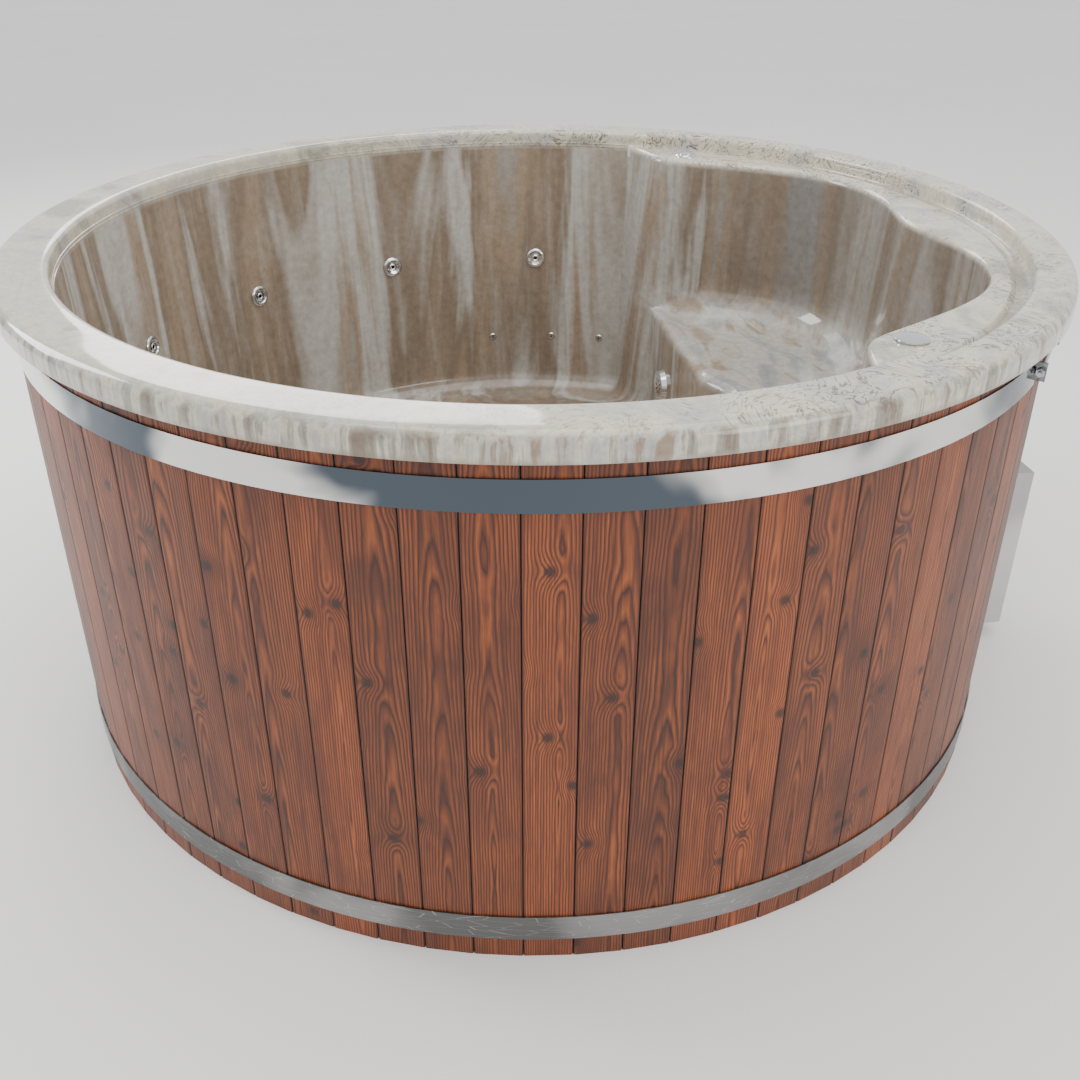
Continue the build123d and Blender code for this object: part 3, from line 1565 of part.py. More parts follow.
spring_floor = valve_bottom + 23
spring_height = ledge_top - 12 - spring_floor
with BuildPart() as push_button:
    with BuildSketch(Plane.XZ):
        with BuildLine():
            cap = ledge_top + dome_height
            skirt = cup_floor + button_travel + door_gap
            Polyline(
                (0, cap - 3), (0, cap),
            )
            ThreePointArc((0, cap), (button_radius * 0.6, cap - 0.5), (button_radius, cap - 2))
            Polyline(
                (button_radius, cap - 2), (button_radius, skirt), (button_bore, skirt),
                (button_bore, spring_floor + spring_height), (0, spring_floor + spring_height), (0, cap - 3),
            )
        make_face()
    revolve(axis=Axis.Z)
save(push_button.part.moved(Location((button_x, button_y, 0))), "push_button")

with BuildPart() as button_spring:
    with BuildLine():
        coil = Helix(
            pitch=(spring_height - 2 * spring_wire) / spring_turns, height=spring_height - 2 * spring_wire,
            radius=spring_radius, center=(0, 0, spring_floor + spring_wire),
        )
    with BuildSketch(Plane(coil @ 0, z_dir=coil % 0)):
        Circle(spring_wire)
    sweep()
save(button_spring.part.moved(Location((button_x, button_y, 0))), "button_spring")

# Ring nuts behind the shell, on every threaded fitting
with BuildPart() as fitting_nuts:
    for angle in both_sides(jet_angles):
        with BuildSketch(wall_plane(angle, jet_level).offset(-shell_wall - 1)):
            RegularPolygon(jet_hole + 6, 8)
            Circle(jet_hole, mode=Mode.SUBTRACT)
        extrude(amount=-(jet_chamber_front - shell_wall - 1))
    for level in (hot_level, cold_level):
        with BuildSketch(Plane.YZ.offset(riser_back)):
            with Locations((0, level)):
                RegularPolygon(pipe_radius + nut_ring, 8)
                Circle(pipe_radius, mode=Mode.SUBTRACT)
        extrude(amount=nut_ring_thick)
    for side in (-1, 1):
        with BuildSketch(Plane.YZ.offset(seat_front + shell_wall)):
            with Locations((side * suction_offset, suction_level)):
                RegularPolygon(pipe_radius + nut_ring, 8)
                Circle(pipe_radius, mode=Mode.SUBTRACT)
        extrude(amount=nut_ring_thick)
        with BuildSketch(Plane.XY.offset(ledge_under)):
            with Locations(polar(control_radius, side * control_angle)[:2]):
                RegularPolygon(control_hole + nut_ring, 8)
                Circle(control_hole, mode=Mode.SUBTRACT)
        extrude(amount=-nut_ring_thick)
save(fitting_nuts.part, "fitting_nuts")
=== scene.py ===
import bpy, bmesh, json, math
import numpy as np
from mathutils import Matrix, Vector


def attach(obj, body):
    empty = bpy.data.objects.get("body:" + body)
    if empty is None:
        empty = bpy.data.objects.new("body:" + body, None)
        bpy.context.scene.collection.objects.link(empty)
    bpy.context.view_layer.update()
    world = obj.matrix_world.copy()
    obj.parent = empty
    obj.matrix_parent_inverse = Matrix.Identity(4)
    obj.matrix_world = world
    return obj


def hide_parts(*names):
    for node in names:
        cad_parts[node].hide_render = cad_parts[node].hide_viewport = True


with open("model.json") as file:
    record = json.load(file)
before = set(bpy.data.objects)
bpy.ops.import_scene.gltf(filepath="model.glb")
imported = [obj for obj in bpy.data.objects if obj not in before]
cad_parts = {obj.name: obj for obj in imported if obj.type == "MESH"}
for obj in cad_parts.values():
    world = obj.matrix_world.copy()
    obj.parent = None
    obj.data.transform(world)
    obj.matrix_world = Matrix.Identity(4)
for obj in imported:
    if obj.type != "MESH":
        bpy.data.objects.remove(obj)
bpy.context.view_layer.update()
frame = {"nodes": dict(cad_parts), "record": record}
print("packed frame loaded,", len(frame["nodes"]), "nodes")


# camera at the photograph's angle
camera = {"lens": 39.2, "place": (-0.3505, -2.290, 1.570), "turn": (60.09, 0.0, -9.05), "roll": 0.15}

camData = bpy.data.cameras.new("photoCamera")
camData.lens = camera["lens"]
camData.sensor_width = 36
camData.dof.use_dof = False
camObject = bpy.data.objects.new("photoCamera", camData)
bpy.context.scene.collection.objects.link(camObject)
camObject.location = camera["place"]
turnX, turnY, turnZ = (math.radians(v) for v in camera["turn"])
camObject.rotation_euler = (
    Matrix.Rotation(turnZ, 4, "Z") @ Matrix.Rotation(turnX, 4, "X")
    @ Matrix.Rotation(math.radians(camera["roll"]), 4, "Z")
).to_euler()
bpy.context.scene.camera = camObject


# small helpers for shader trees
def newMaterial(name, roughness=0.5, metallic=0.0, **fixed):
    material = bpy.data.materials.new(name)
    material.use_nodes = True
    shader = material.node_tree.nodes["Principled BSDF"]
    shader.inputs["Roughness"].default_value = roughness
    shader.inputs["Metallic"].default_value = metallic
    for key, value in fixed.items():
        shader.inputs[key.replace("_", " ")].default_value = value
    return material, material.node_tree, shader


def place(tree, kind, links=None, **settings):
    node = tree.nodes.new(kind)
    for key, value in settings.items():
        if hasattr(node, key):
            setattr(node, key, value)
        else:
            node.inputs[key.replace("_", " ")].default_value = value
    for socket, source in (links or {}).items():
        tree.links.new(source, node.inputs[socket])
    return node


def objectCoords(tree, scale=(1, 1, 1), offset=None):
    coords = place(tree, "ShaderNodeTexCoord").outputs["Object"]
    if offset is not None:
        coords = place(tree, "ShaderNodeVectorMath", {0: coords, 1: offset}, operation="ADD").outputs[0]
    mapping = place(tree, "ShaderNodeMapping", {"Vector": coords})
    mapping.inputs["Scale"].default_value = scale
    return mapping.outputs[0]


def noise(tree, coords, scale, detail=4.0, rough=0.55, warp=0.0):
    node = place(tree, "ShaderNodeTexNoise", {"Vector": coords}, Scale=scale, Detail=detail)
    node.inputs["Roughness"].default_value = rough
    node.inputs["Distortion"].default_value = warp
    return node.outputs["Fac"]


def math2(tree, operation, a, b=None, clamp=False):
    node = place(tree, "ShaderNodeMath", operation=operation, use_clamp=clamp)
    for index, value in enumerate((a, b)):
        if value is None:
            continue
        if isinstance(value, (int, float)):
            node.inputs[index].default_value = value
        else:
            tree.links.new(value, node.inputs[index])
    return node.outputs[0]


def times(tree, a, b):
    return math2(tree, "MULTIPLY", a, b)


def plus(tree, a, b):
    return math2(tree, "ADD", a, b)


def ramp(tree, factor, stops, smooth=True):
    node = place(tree, "ShaderNodeValToRGB", {"Fac": factor})
    if smooth:
        node.color_ramp.interpolation = "EASE"
    elements = node.color_ramp.elements
    while len(elements) < len(stops):
        elements.new(0.5)
    for element, (position, colour) in zip(elements, stops):
        element.position = position
        element.color = (*colour, 1)
    return node.outputs["Color"]


def grey(tree, factor, low, high, darkest=0.0, lightest=1.0):
    node = place(tree, "ShaderNodeMapRange", {"Value": factor})
    for name, value in (("From Min", low), ("From Max", high), ("To Min", darkest), ("To Max", lightest)):
        node.inputs[name].default_value = value
    return node.outputs["Result"]


def mixColour(tree, factor, a, b, blend="MIX"):
    node = place(tree, "ShaderNodeMix", data_type="RGBA", blend_type=blend)
    for index, value in ((0, factor), (6, a), (7, b)):
        if isinstance(value, (int, float)):
            node.inputs[index].default_value = value
        elif isinstance(value, tuple):
            node.inputs[index].default_value = (*value, 1)
        else:
            tree.links.new(value, node.inputs[index])
    return node.outputs[2]


def bump(tree, shader, height, strength, distance):
    node = place(tree, "ShaderNodeBump", {"Height": height}, Strength=strength, Distance=distance)
    tree.links.new(node.outputs[0], shader.inputs["Normal"])


def paint(tree, shader, colour=None, roughness=None):
    if colour is not None:
        tree.links.new(colour, shader.inputs["Base Color"])
    if roughness is not None:
        tree.links.new(roughness, shader.inputs["Roughness"])


# marbled acrylic: the sheet was drawn down, so its marbling runs as streaks on the walls
acrylic = {
    "tan": (0.31, 0.235, 0.165), "taupe": (0.225, 0.172, 0.125), "blueGrey": (0.30, 0.315, 0.32),
    "pale": (0.47, 0.455, 0.415), "ivory": (0.60, 0.555, 0.44), "greyGreen": (0.33, 0.325, 0.265),
    "shade": (0.135, 0.112, 0.090), "vein": (0.060, 0.032, 0.018), "roughness": 0.09,
    "stretch": 0.10, "cloudScale": 4.2, "streakScale": 24.0, "veinScale": 7.0, "veinCount": 13.0,
    "veinLeft": -0.6, "veinRight": 0.3, "veinFewest": 0.15,
    "shadeFrom": 0.20, "shadeTo": 0.70, "shadeMost": 0.62,
}


def marbledAcrylic():
    size = acrylic
    material, tree, shader = newMaterial("marbledAcrylic", size["roughness"], Coat_Weight=0.25, IOR=1.49)
    shader.inputs["Coat Roughness"].default_value = 0.03
    still = objectCoords(tree)
    x, y, z = place(tree, "ShaderNodeSeparateXYZ", {0: still}).outputs
    radius = math2(tree, "SQRT", plus(tree, times(tree, x, x), times(tree, y, y)))
    drawn = objectCoords(tree, (1, 1, size["stretch"]))
    # walls: soft wide streaks with narrow ones in them
    clouds = noise(tree, drawn, size["cloudScale"], 4, 0.55, 0.8)
    wall = ramp(tree, clouds, [
        (0.30, size["blueGrey"]), (0.41, size["tan"]), (0.50, size["taupe"]),
        (0.58, size["pale"]), (0.66, size["tan"]), (0.76, size["blueGrey"]),
    ])
    streaks = noise(tree, drawn, size["streakScale"], 5, 0.6, 0.4)
    wall = mixColour(tree, grey(tree, streaks, 0.50, 0.78, 0.0, 0.45), wall, size["pale"])
    # painted shade under the ledge: darker towards the backrest, most of all above the seat
    under = grey(tree, x, size["shadeFrom"], size["shadeTo"], 0.0, size["shadeMost"])
    under = times(tree, under, grey(tree, z, 0.60, 0.66, 0.25, 1.0))
    wall = mixColour(tree, under, wall, size["shade"])
    # raised seat
    seat = times(tree, grey(tree, z, 0.52, 0.545, 0.0, 1.0), grey(tree, z, 0.575, 0.62, 0.8, 0.0))
    seat = times(tree, seat, grey(tree, x, 0.36, 0.42, 0.0, 1.0))
    lying = noise(tree, objectCoords(tree, (1, 0.35, 1)), 9.0, 5, 0.6, 1.2)
    wall = mixColour(tree, seat, wall, ramp(tree, lying, [
        (0.34, size["blueGrey"]), (0.50, size["pale"]), (0.64, size["tan"]),
    ]))
    # rim and ledge
    cloudy = noise(tree, still, 3.4, 5, 0.6, 1.6)
    top = ramp(tree, cloudy, [
        (0.32, size["greyGreen"]), (0.48, size["ivory"]), (0.62, size["pale"]), (0.75, size["tan"]),
    ])
    edge = ramp(tree, streaks, [
        (0.36, size["taupe"]), (0.44, size["greyGreen"]), (0.49, size["ivory"]),
        (0.56, size["pale"]), (0.62, size["tan"]),
    ])
    skirt = grey(tree, radius, 0.988, 0.998, 0.0, 1.0)
    high = grey(tree, z, 0.915, 0.929, 0.0, 1.0)
    base = mixColour(tree, high, wall, mixColour(tree, skirt, top, edge))
    # brown squiggles in patches, thickest towards the ledge
    lines = noise(tree, still, size["veinScale"], 5, 0.62, 1.4)
    lines = math2(tree, "PINGPONG", times(tree, lines, size["veinCount"]), 0.5)
    line = grey(tree, lines, 0.02, 0.15, 1.0, 0.0)
    patch = grey(tree, noise(tree, still, 4.5, 4, 0.6, 0.8), 0.40, 0.50, 0.0, 1.0)
    patch = times(tree, patch, grey(tree, x, size["veinLeft"], size["veinRight"], size["veinFewest"], 1.0))
    vein = times(tree, times(tree, line, patch), times(tree, high, 0.85))
    vein = times(tree, vein, grey(tree, skirt, 0.0, 1.0, 1.0, 0.25))
    base = mixColour(tree, vein, base, size["vein"])
    speck = grey(tree, noise(tree, still, 55.0, 5, 0.7), 0.3, 0.7, 0.80, 1.12)
    base = mixColour(tree, 1.0, base, speck, "MULTIPLY")
    paint(tree, shader, base)
    bump(tree, shader, noise(tree, still, 14.0, 2, 0.5), 0.06, 0.004)
    return material


# stained spruce: each board is cut from a log of its own, so its rings show as arches and lines
stain = {
    "dark": (0.042, 0.0085, 0.0028), "mid": (0.190, 0.041, 0.0085), "light": (0.350, 0.088, 0.017),
    "knot": (0.022, 0.007, 0.004), "blotch": (0.070, 0.015, 0.006), "roughness": 0.5, "count": 74,
    "width": 0.0824, "ringPitch": 0.0042, "slope": 0.030, "knotScale": 6.0, "apart": 0.731,
    "wander": 0.030, "heartSide": 0.034, "knotBend": 0.015, "ripple": 0.9,
}


def stainedBoard():
    size = stain
    material, tree, shader = newMaterial("stainedSpruce", size["roughness"])
    x, y, z = place(tree, "ShaderNodeSeparateXYZ", {0: objectCoords(tree)}).outputs
    turns = math2(tree, "DIVIDE", math2(tree, "ARCTAN2", y, x), 2 * math.pi / size["count"])
    index = math2(tree, "ROUND", turns)
    across = times(tree, math2(tree, "SUBTRACT", turns, index), size["width"])
    index = math2(tree, "FLOORED_MODULO", index, size["count"])
    chance = place(tree, "ShaderNodeTexWhiteNoise", {"W": index}, noise_dimensions="1D")
    tone = chance.outputs["Value"]
    first, second, third = place(tree, "ShaderNodeSeparateColor", {0: chance.outputs["Color"]}).outputs
    # place on the board: across, which board, along
    whichBoard = times(tree, index, size["apart"])
    board = place(tree, "ShaderNodeCombineXYZ", {"X": across, "Y": whichBoard, "Z": z}).outputs[0]

    def stretched(scale):
        mapping = place(tree, "ShaderNodeMapping", {"Vector": board})
        mapping.inputs["Scale"].default_value = scale
        return mapping.outputs[0]
    spread = plus(tree, across, times(tree, index, size["apart"]))
    knotPlace = place(tree, "ShaderNodeCombineXYZ", {"X": spread, "Y": z}).outputs[0]
    knots = place(
        tree, "ShaderNodeTexVoronoi", {"Vector": knotPlace}, voronoi_dimensions="2D", Scale=size["knotScale"],
    )
    away = knots.outputs["Distance"]
    # distance from the heart of the log, bent round the knots
    wander = noise(tree, stretched((8, 7, 2.4)), 1.0, 3, 0.5)
    depth = times(tree, math2(tree, "SUBTRACT", z, first), size["slope"])
    depth = plus(tree, depth, times(tree, wander, size["wander"]))
    side = grey(tree, second, 0, 1, -size["heartSide"], size["heartSide"])
    aside = math2(tree, "SUBTRACT", across, side)
    heart = math2(tree, "SQRT", plus(tree, times(tree, aside, aside), times(tree, depth, depth)))
    near = grey(tree, away, 0.0, 0.26, 1.0, 0.0)
    heart = plus(tree, heart, times(tree, times(tree, near, near), size["knotBend"]))
    field = math2(tree, "DIVIDE", heart, size["ringPitch"])
    ripple = noise(tree, stretched((60, 7, 9)), 1.0, 3, 0.6)
    field = plus(tree, field, times(tree, ripple, size["ripple"]))
    ring = math2(tree, "FRACT", field)
    colour = ramp(tree, ring, [
        (0.0, size["mid"]), (0.22, size["light"]), (0.58, size["mid"]),
        (0.86, size["dark"]), (1.0, size["mid"]),
    ], False)
    fibre = noise(tree, stretched((950, 7, 16)), 1.0, 4, 0.7)
    long = noise(tree, stretched((150, 7, 3)), 1.0, 4, 0.65)
    colour = mixColour(tree, 1.0, colour, grey(tree, fibre, 0.30, 0.70, 0.55, 1.30), "MULTIPLY")
    colour = mixColour(tree, grey(tree, long, 0.48, 0.70, 0.0, 0.75), colour, size["blotch"])
    blotches = noise(tree, stretched((14, 7, 5)), 1.0, 4, 0.6, 0.5)
    colour = mixColour(tree, grey(tree, blotches, 0.44, 0.70, 0.0, 0.70), colour, size["blotch"])
    colour = mixColour(tree, 1.0, colour, grey(tree, tone, 0, 1, 0.68, 1.22), "MULTIPLY")
    halo = times(tree, grey(tree, away, 0.06, 0.20, 0.55, 0.0), third)
    colour = mixColour(tree, halo, colour, size["dark"])
    core = grey(tree, away, 0.030, 0.075, 0.85, 0.0)
    colour = mixColour(tree, core, colour, size["knot"])
    joint = grey(tree, math2(tree, "ABSOLUTE", across), size["width"] * 0.455, size["width"] * 0.49, 0.0, 0.8)
    colour = mixColour(tree, joint, colour, size["knot"])
    paint(tree, shader, colour, grey(tree, fibre, 0.3, 0.7, 0.60, 0.42))
    bump(tree, shader, plus(tree, fibre, times(tree, ring, 0.3)), 0.25, 0.0008)
    return material


def plainWood(name, dark, light, scale=(30, 30, 3), roughness=0.6):
    material, tree, shader = newMaterial(name, roughness)
    grain = noise(tree, objectCoords(tree, scale), 1.6, 6, 0.65, 0.8)
    rings = math2(tree, "PINGPONG", times(tree, grain, 7.0), 0.5)
    mixed = plus(tree, times(tree, rings, 0.9), times(tree, grain, 0.5))
    paint(tree, shader, ramp(tree, mixed, [(0.15, dark), (0.8, light)]))
    bump(tree, shader, mixed, 0.25, 0.001)
    return material


# metals, with their brushing, waves and scratches
def steel(name, dark, light, roughness, brush, brushScale, wave=0.0, scratches=0.0):
    material, tree, shader = newMaterial(name, roughness[0], 1.0)
    lines = noise(tree, objectCoords(tree, brushScale), 1.0, 5, 0.7)
    patches = noise(tree, objectCoords(tree, (2.6, 2.6, 3.0)), 1.0, 3, 0.5, 0.5)
    colour = ramp(tree, patches, [(0.46, dark), (0.60, light)])
    rough = grey(tree, lines, 0.25, 0.75, roughness[0], roughness[1])
    height = times(tree, lines, brush)
    if scratches:
        bent = objectCoords(tree, (1, 1, 7))
        cuts = place(tree, "ShaderNodeTexVoronoi", {"Vector": bent}, feature="DISTANCE_TO_EDGE", Scale=14.0)
        mark = grey(tree, cuts.outputs["Distance"], 0.0, 0.012, scratches, 0.0)
        colour = mixColour(tree, mark, colour, (0.80, 0.80, 0.80))
        rough = math2(tree, "ADD", rough, times(tree, mark, 0.2), True)
    if wave:
        height = plus(tree, height, times(tree, patches, wave))
    paint(tree, shader, colour, rough)
    bump(tree, shader, height, 0.5, 0.002)
    return material


def moulded(name, dark, light, roughness, grainScale=180.0, depth=0.0003):
    material, tree, shader = newMaterial(name, roughness)
    cloud = noise(tree, objectCoords(tree), 7.0, 4, 0.6)
    pits = noise(tree, objectCoords(tree), grainScale, 3, 0.5)
    rough = grey(tree, cloud, 0.3, 0.7, roughness * 0.85, roughness * 1.15)
    paint(tree, shader, ramp(tree, cloud, [(0.3, dark), (0.7, light)]), rough)
    bump(tree, shader, pits, 0.4, depth)
    return material


finishes = {
    "acrylic": marbledAcrylic(),
    "boards": stainedBoard(),
    "frame_wood": plainWood("sawnSoftwood", (0.42, 0.27, 0.14), (0.68, 0.50, 0.30), (12, 12, 12)),
    "grip_wood": plainWood("turnedHardwood", (0.07, 0.025, 0.012), (0.26, 0.11, 0.05), (14, 60, 60), 0.38),
    # polished band: the dark blue-grey patches in its colour are painted reflection
    "band_polished": steel(
        "polishedBand", (0.075, 0.090, 0.110), (0.66, 0.66, 0.64),
        (0.07, 0.13), 0.05, (4, 4, 260), 0.9,
    ),
    "band_dull": steel(
        "dullBand", (0.15, 0.155, 0.155), (0.33, 0.33, 0.325),
        (0.34, 0.52), 0.25, (6, 6, 420), 0.3, 0.5,
    ),
    "stainless": steel(
        "satinStainless", (0.40, 0.40, 0.40), (0.56, 0.56, 0.55),
        (0.28, 0.42), 0.2, (420, 420, 5), 0.1,
    ),
    "jacket_steel": steel(
        "pickledSteel", (0.34, 0.34, 0.33), (0.52, 0.52, 0.51),
        (0.42, 0.6), 0.2, (30, 30, 30), 0.2,
    ),
    "zinc": steel("zincPlate", (0.42, 0.43, 0.45), (0.66, 0.67, 0.68), (0.25, 0.4), 0.2, (90, 90, 90), 0.0),
    "chrome": steel(
        "polishedChrome", (0.66, 0.67, 0.69), (0.86, 0.86, 0.87),
        (0.04, 0.10), 0.04, (60, 60, 60), 0.05,
    ),
    "brass": steel("bareBrass", (0.48, 0.31, 0.10), (0.74, 0.54, 0.22), (0.22, 0.38), 0.2, (70, 70, 70), 0.2),
    "heat_steel": moulded("stovePaint", (0.012, 0.012, 0.013), (0.030, 0.030, 0.032), 0.62, 260, 0.0004),
    "iron": moulded("castIron", (0.030, 0.029, 0.028), (0.075, 0.070, 0.066), 0.72, 120, 0.0009),
    "rope": moulded("glassRope", (0.55, 0.52, 0.45), (0.78, 0.75, 0.68), 0.9, 520, 0.001),
    "white_plastic": moulded("whitePlastic", (0.72, 0.72, 0.70), (0.84, 0.84, 0.82), 0.34),
    "grey_plastic": moulded("pipePlastic", (0.20, 0.21, 0.23), (0.30, 0.31, 0.33), 0.38),
    "black_plastic": moulded("blackPlastic", (0.012, 0.012, 0.014), (0.030, 0.030, 0.034), 0.42),
}
slotOf = {part["node"]: part["material_slot"] for part in frame["record"]["subparts"]}
for nodeName, nodeObject in frame["nodes"].items():
    nodeObject.data.materials.clear()
    nodeObject.data.materials.append(finishes[slotOf[nodeName]])
print("finishes on", len(slotOf), "nodes")


# moulded shell, as one profile for each direction round the axis, in millimetres
shellForm = {
    "steps": 540, "wall": 8, "rimRadius": 1000, "rimTop": 962, "skirt": 43, "skirtWall": 9,
    "rimRound": 20, "mouthRadius": 898, "mouthRound": 12, "benchTop": 265, "benchRadius": 850,
    "benchNose": 25, "benchCove": 50, "wellRadius": 495, "floorRadius": 475, "floorTop": 100,
    "floorCove": 25, "seatTop": 550, "seatFront": 410, "seatNose": 25, "seatFoot": 20,
    "recessDepth": 41, "recessFlat": 90, "recessWidth": 352, "seatEnd": 57.4, "backCove": 90, "ledgeTop": 932,
    "ledgeRound": 14, "channel": (893, 928), "channelDepth": 9, "channelEnd": 61,
    "ledgeEdge": [(0, 782), (13, 830), (27, 858), (44, 803), (53, 779), (58.5, 792), (62.5, 849), (66, 905)],
    "between": [6, 4, 10, 5, 8, 10, 6, 1, 3, 2, 4, 2, 1, 2, 2, 1, 1, 1, 2, 2, 2, 1, 1, 1, 1],
}


def smooth(x, low, high):
    t = min(1.0, max(0.0, (x - low) / (high - low)))
    return t * t * (3 - 2 * t)


def naturalSpline(points):
    # cubic through the points, level at the first one
    x = np.array([p[0] for p in points], float)
    y = np.array([p[1] for p in points], float)
    h = np.diff(x)
    n = len(x)
    a = np.zeros((n, n))
    b = np.zeros(n)
    a[0, 0], a[0, 1], b[0] = 2 * h[0], h[0], 6 * (y[1] - y[0]) / h[0]
    a[-1, -1] = 1
    for i in range(1, n - 1):
        a[i, i - 1:i + 2] = h[i - 1], 2 * (h[i - 1] + h[i]), h[i]
        b[i] = 6 * ((y[i + 1] - y[i]) / h[i] - (y[i] - y[i - 1]) / h[i - 1])
    m = np.linalg.solve(a, b)

    def value(v):
        i = int(min(max(np.searchsorted(x, v) - 1, 0), n - 2))
        left, right = x[i + 1] - v, v - x[i]
        return (
            (m[i] * left ** 3 + m[i + 1] * right ** 3) / (6 * h[i])
            + (y[i] / h[i] - m[i] * h[i] / 6) * left + (y[i + 1] / h[i] - m[i + 1] * h[i] / 6) * right
        )
    return value


def shellProfile(angle, edgeAt):
    s = shellForm
    a = abs(angle)
    slope = (s["mouthRadius"] - s["benchRadius"]) / (s["rimTop"] - s["benchTop"])

    def wallAt(z):
        return s["benchRadius"] + slope * (z - s["benchTop"])
    # front of the seat block along this direction
    if a < 80:
        front = s["seatFront"]
        for _ in range(12):
            y = front * math.tan(math.radians(a))
            dip = 1 - smooth(y, s["recessFlat"] / 2, s["recessWidth"] / 2)
            front = s["seatFront"] + s["recessDepth"] * dip
        riser = front / math.cos(math.radians(a))
    else:
        riser = 1e6
    edge = edgeAt(min(a, 66))
    ledgeTop = s["ledgeTop"]
    hasLedge = a < 66 and edge < wallAt(ledgeTop)

    def backAt(z):
        # face of the lobed backrest, or the plain wall beyond it
        return min(wallAt(z), edge - slope * (ledgeTop - z)) if hasLedge else wallAt(z)
    seat = riser < backAt(s["seatTop"])
    well = min(s["wellRadius"], riser)
    benchOut = min(backAt(s["benchTop"]), riser)
    behindWell = smooth(riser - s["wellRadius"], 0, 60)
    corners = [(0, s["floorTop"], 0, 1)]
    corners.append((min(s["floorRadius"], riser), s["floorTop"], s["floorCove"], 6))
    corners.append((well, s["benchTop"], s["benchNose"] * behindWell, 8))
    foot = s["seatFoot"] * behindWell if seat else s["benchCove"]
    corners.append((benchOut, s["benchTop"], foot, 9))
    beyond = 45 * smooth(a, s["seatEnd"], s["seatEnd"] + 5)
    if seat:
        corners.append((riser, s["seatTop"], s["seatNose"], 8))
        corners.append((backAt(s["seatTop"]), s["seatTop"], s["backCove"], 12))
    else:
        corners.append((backAt(s["seatTop"] - beyond), s["seatTop"] - beyond, 0, 8))
        corners.append((backAt(s["seatTop"] + beyond), s["seatTop"] + beyond, 0, 12))
    corners.append((edge if hasLedge else wallAt(ledgeTop), ledgeTop, s["ledgeRound"] if hasLedge else 0, 6))
    # channel and rim, running out at both ends of the crescent
    out = smooth(a, s["channelEnd"] - 0.6, s["channelEnd"] + 1.2)
    low = ledgeTop - s["channelDepth"]
    inner, outer = s["channel"]
    wall = wallAt(ledgeTop)

    def ends(r, z, round_, r2, z2, round2, count):
        corners.append((r + (r2 - r) * out, z + (z2 - z) * out, round_ + (round2 - round_) * out, count))
    ends(inner, ledgeTop, 4, max(wall - 2, edge if hasLedge else 0), ledgeTop, 3, 3)
    ends(inner + s["channelDepth"], low, 4, wall, ledgeTop + 1, 0, 3)
    ends(outer, low, s["channelDepth"] * 0.8, wall + 0.3, ledgeTop + 4, 0, 4)
    ends(outer, s["rimTop"], s["mouthRound"], s["mouthRadius"], s["rimTop"], s["mouthRound"], 7)
    corners.append((s["rimRadius"], s["rimTop"], s["rimRound"], 9))
    corners.append((s["rimRadius"], s["rimTop"] - s["skirt"], 1.5, 2))
    skirtInner = s["rimRadius"] - s["skirtWall"]
    corners.append((skirtInner, s["rimTop"] - s["skirt"], 1.5, 2))
    under = s["rimTop"] - s["wall"]
    corners.append((skirtInner, under, 0, 1))
    # hidden side, one wall thickness behind
    w = s["wall"]
    outerTop = corners[10][0] + w
    corners.append((outerTop, under, 0, 1))
    corners.append((corners[9][0] + w, corners[9][1] - w, 0, 1))
    corners.append((corners[8][0] - 2, corners[8][1] - w, 0, 1))
    for index in (6, 5, 4, 3, 2, 1):
        r, z = corners[index][:2]
        corners.append((r + w, z - w, 0, 1))
    corners.append((0, s["floorTop"] - w, 0, 1))
    return corners


def roundedPolyline(corners, between):
    # the same number of points for every direction
    points = [corners[0][:2]]
    count = len(corners)
    for i in range(1, count):
        p = np.array(corners[i][:2], float)
        before = np.array(corners[i - 1][:2], float)
        bend = corners[i][3]
        if i < count - 1:
            after = np.array(corners[i + 1][:2], float)
            u, v = before - p, after - p
            lu, lv = np.linalg.norm(u), np.linalg.norm(v)
            radius = corners[i][2]
            if radius > 0 and lu > 1e-6 and lv > 1e-6:
                u, v = u / lu, v / lv
                half = math.acos(max(-1, min(1, float(u @ v)))) / 2
                cut = min(radius / max(math.tan(half), 1e-6), 0.48 * lu, 0.48 * lv)
                start, end = p + u * cut, p + v * cut
                arc = []
                for k in range(bend + 1):
                    t = k / bend
                    weight = math.sin(half)
                    wa, wb, wc = (1 - t) ** 2, 2 * t * (1 - t) * weight, t * t
                    arc.append((wa * start + wb * p + wc * end) / (wa + wb + wc))
            else:
                arc = [p] * (bend + 1)
        else:
            arc = [p]
        last = np.array(points[-1], float)
        for k in range(1, between[i - 1]):
            points.append(tuple(last + (arc[0] - last) * k / between[i - 1]))
        points.extend(tuple(q) for q in arc)
    return points


def shellMesh():
    edgeAt = naturalSpline(shellForm["ledgeEdge"])
    steps = shellForm["steps"]
    rows = []
    for i in range(steps):
        angle = -180 + 360 * i / steps
        line = roundedPolyline(shellProfile(angle, edgeAt), shellForm["between"])
        c, s = math.cos(math.radians(angle)), math.sin(math.radians(angle))
        rows.append([(r * c / 1000, r * s / 1000, z / 1000) for r, z in line])
    across = len(rows[0])
    vertices = [p for row in rows for p in row]
    faces = []
    for i in range(steps):
        j = (i + 1) % steps
        for k in range(across - 1):
            faces.append((i * across + k, j * across + k, j * across + k + 1, i * across + k + 1))
    mesh = bpy.data.meshes.new("shellSkin")
    mesh.from_pydata(vertices, [], faces)
    work = bmesh.new()
    work.from_mesh(mesh)
    bmesh.ops.remove_doubles(work, verts=work.verts, dist=0.00002)
    bmesh.ops.dissolve_degenerate(work, dist=0.00002, edges=work.edges)
    bmesh.ops.recalc_face_normals(work, faces=work.faces)
    for face in work.faces:
        face.smooth = True
    work.to_mesh(mesh)
    work.free()
    return mesh


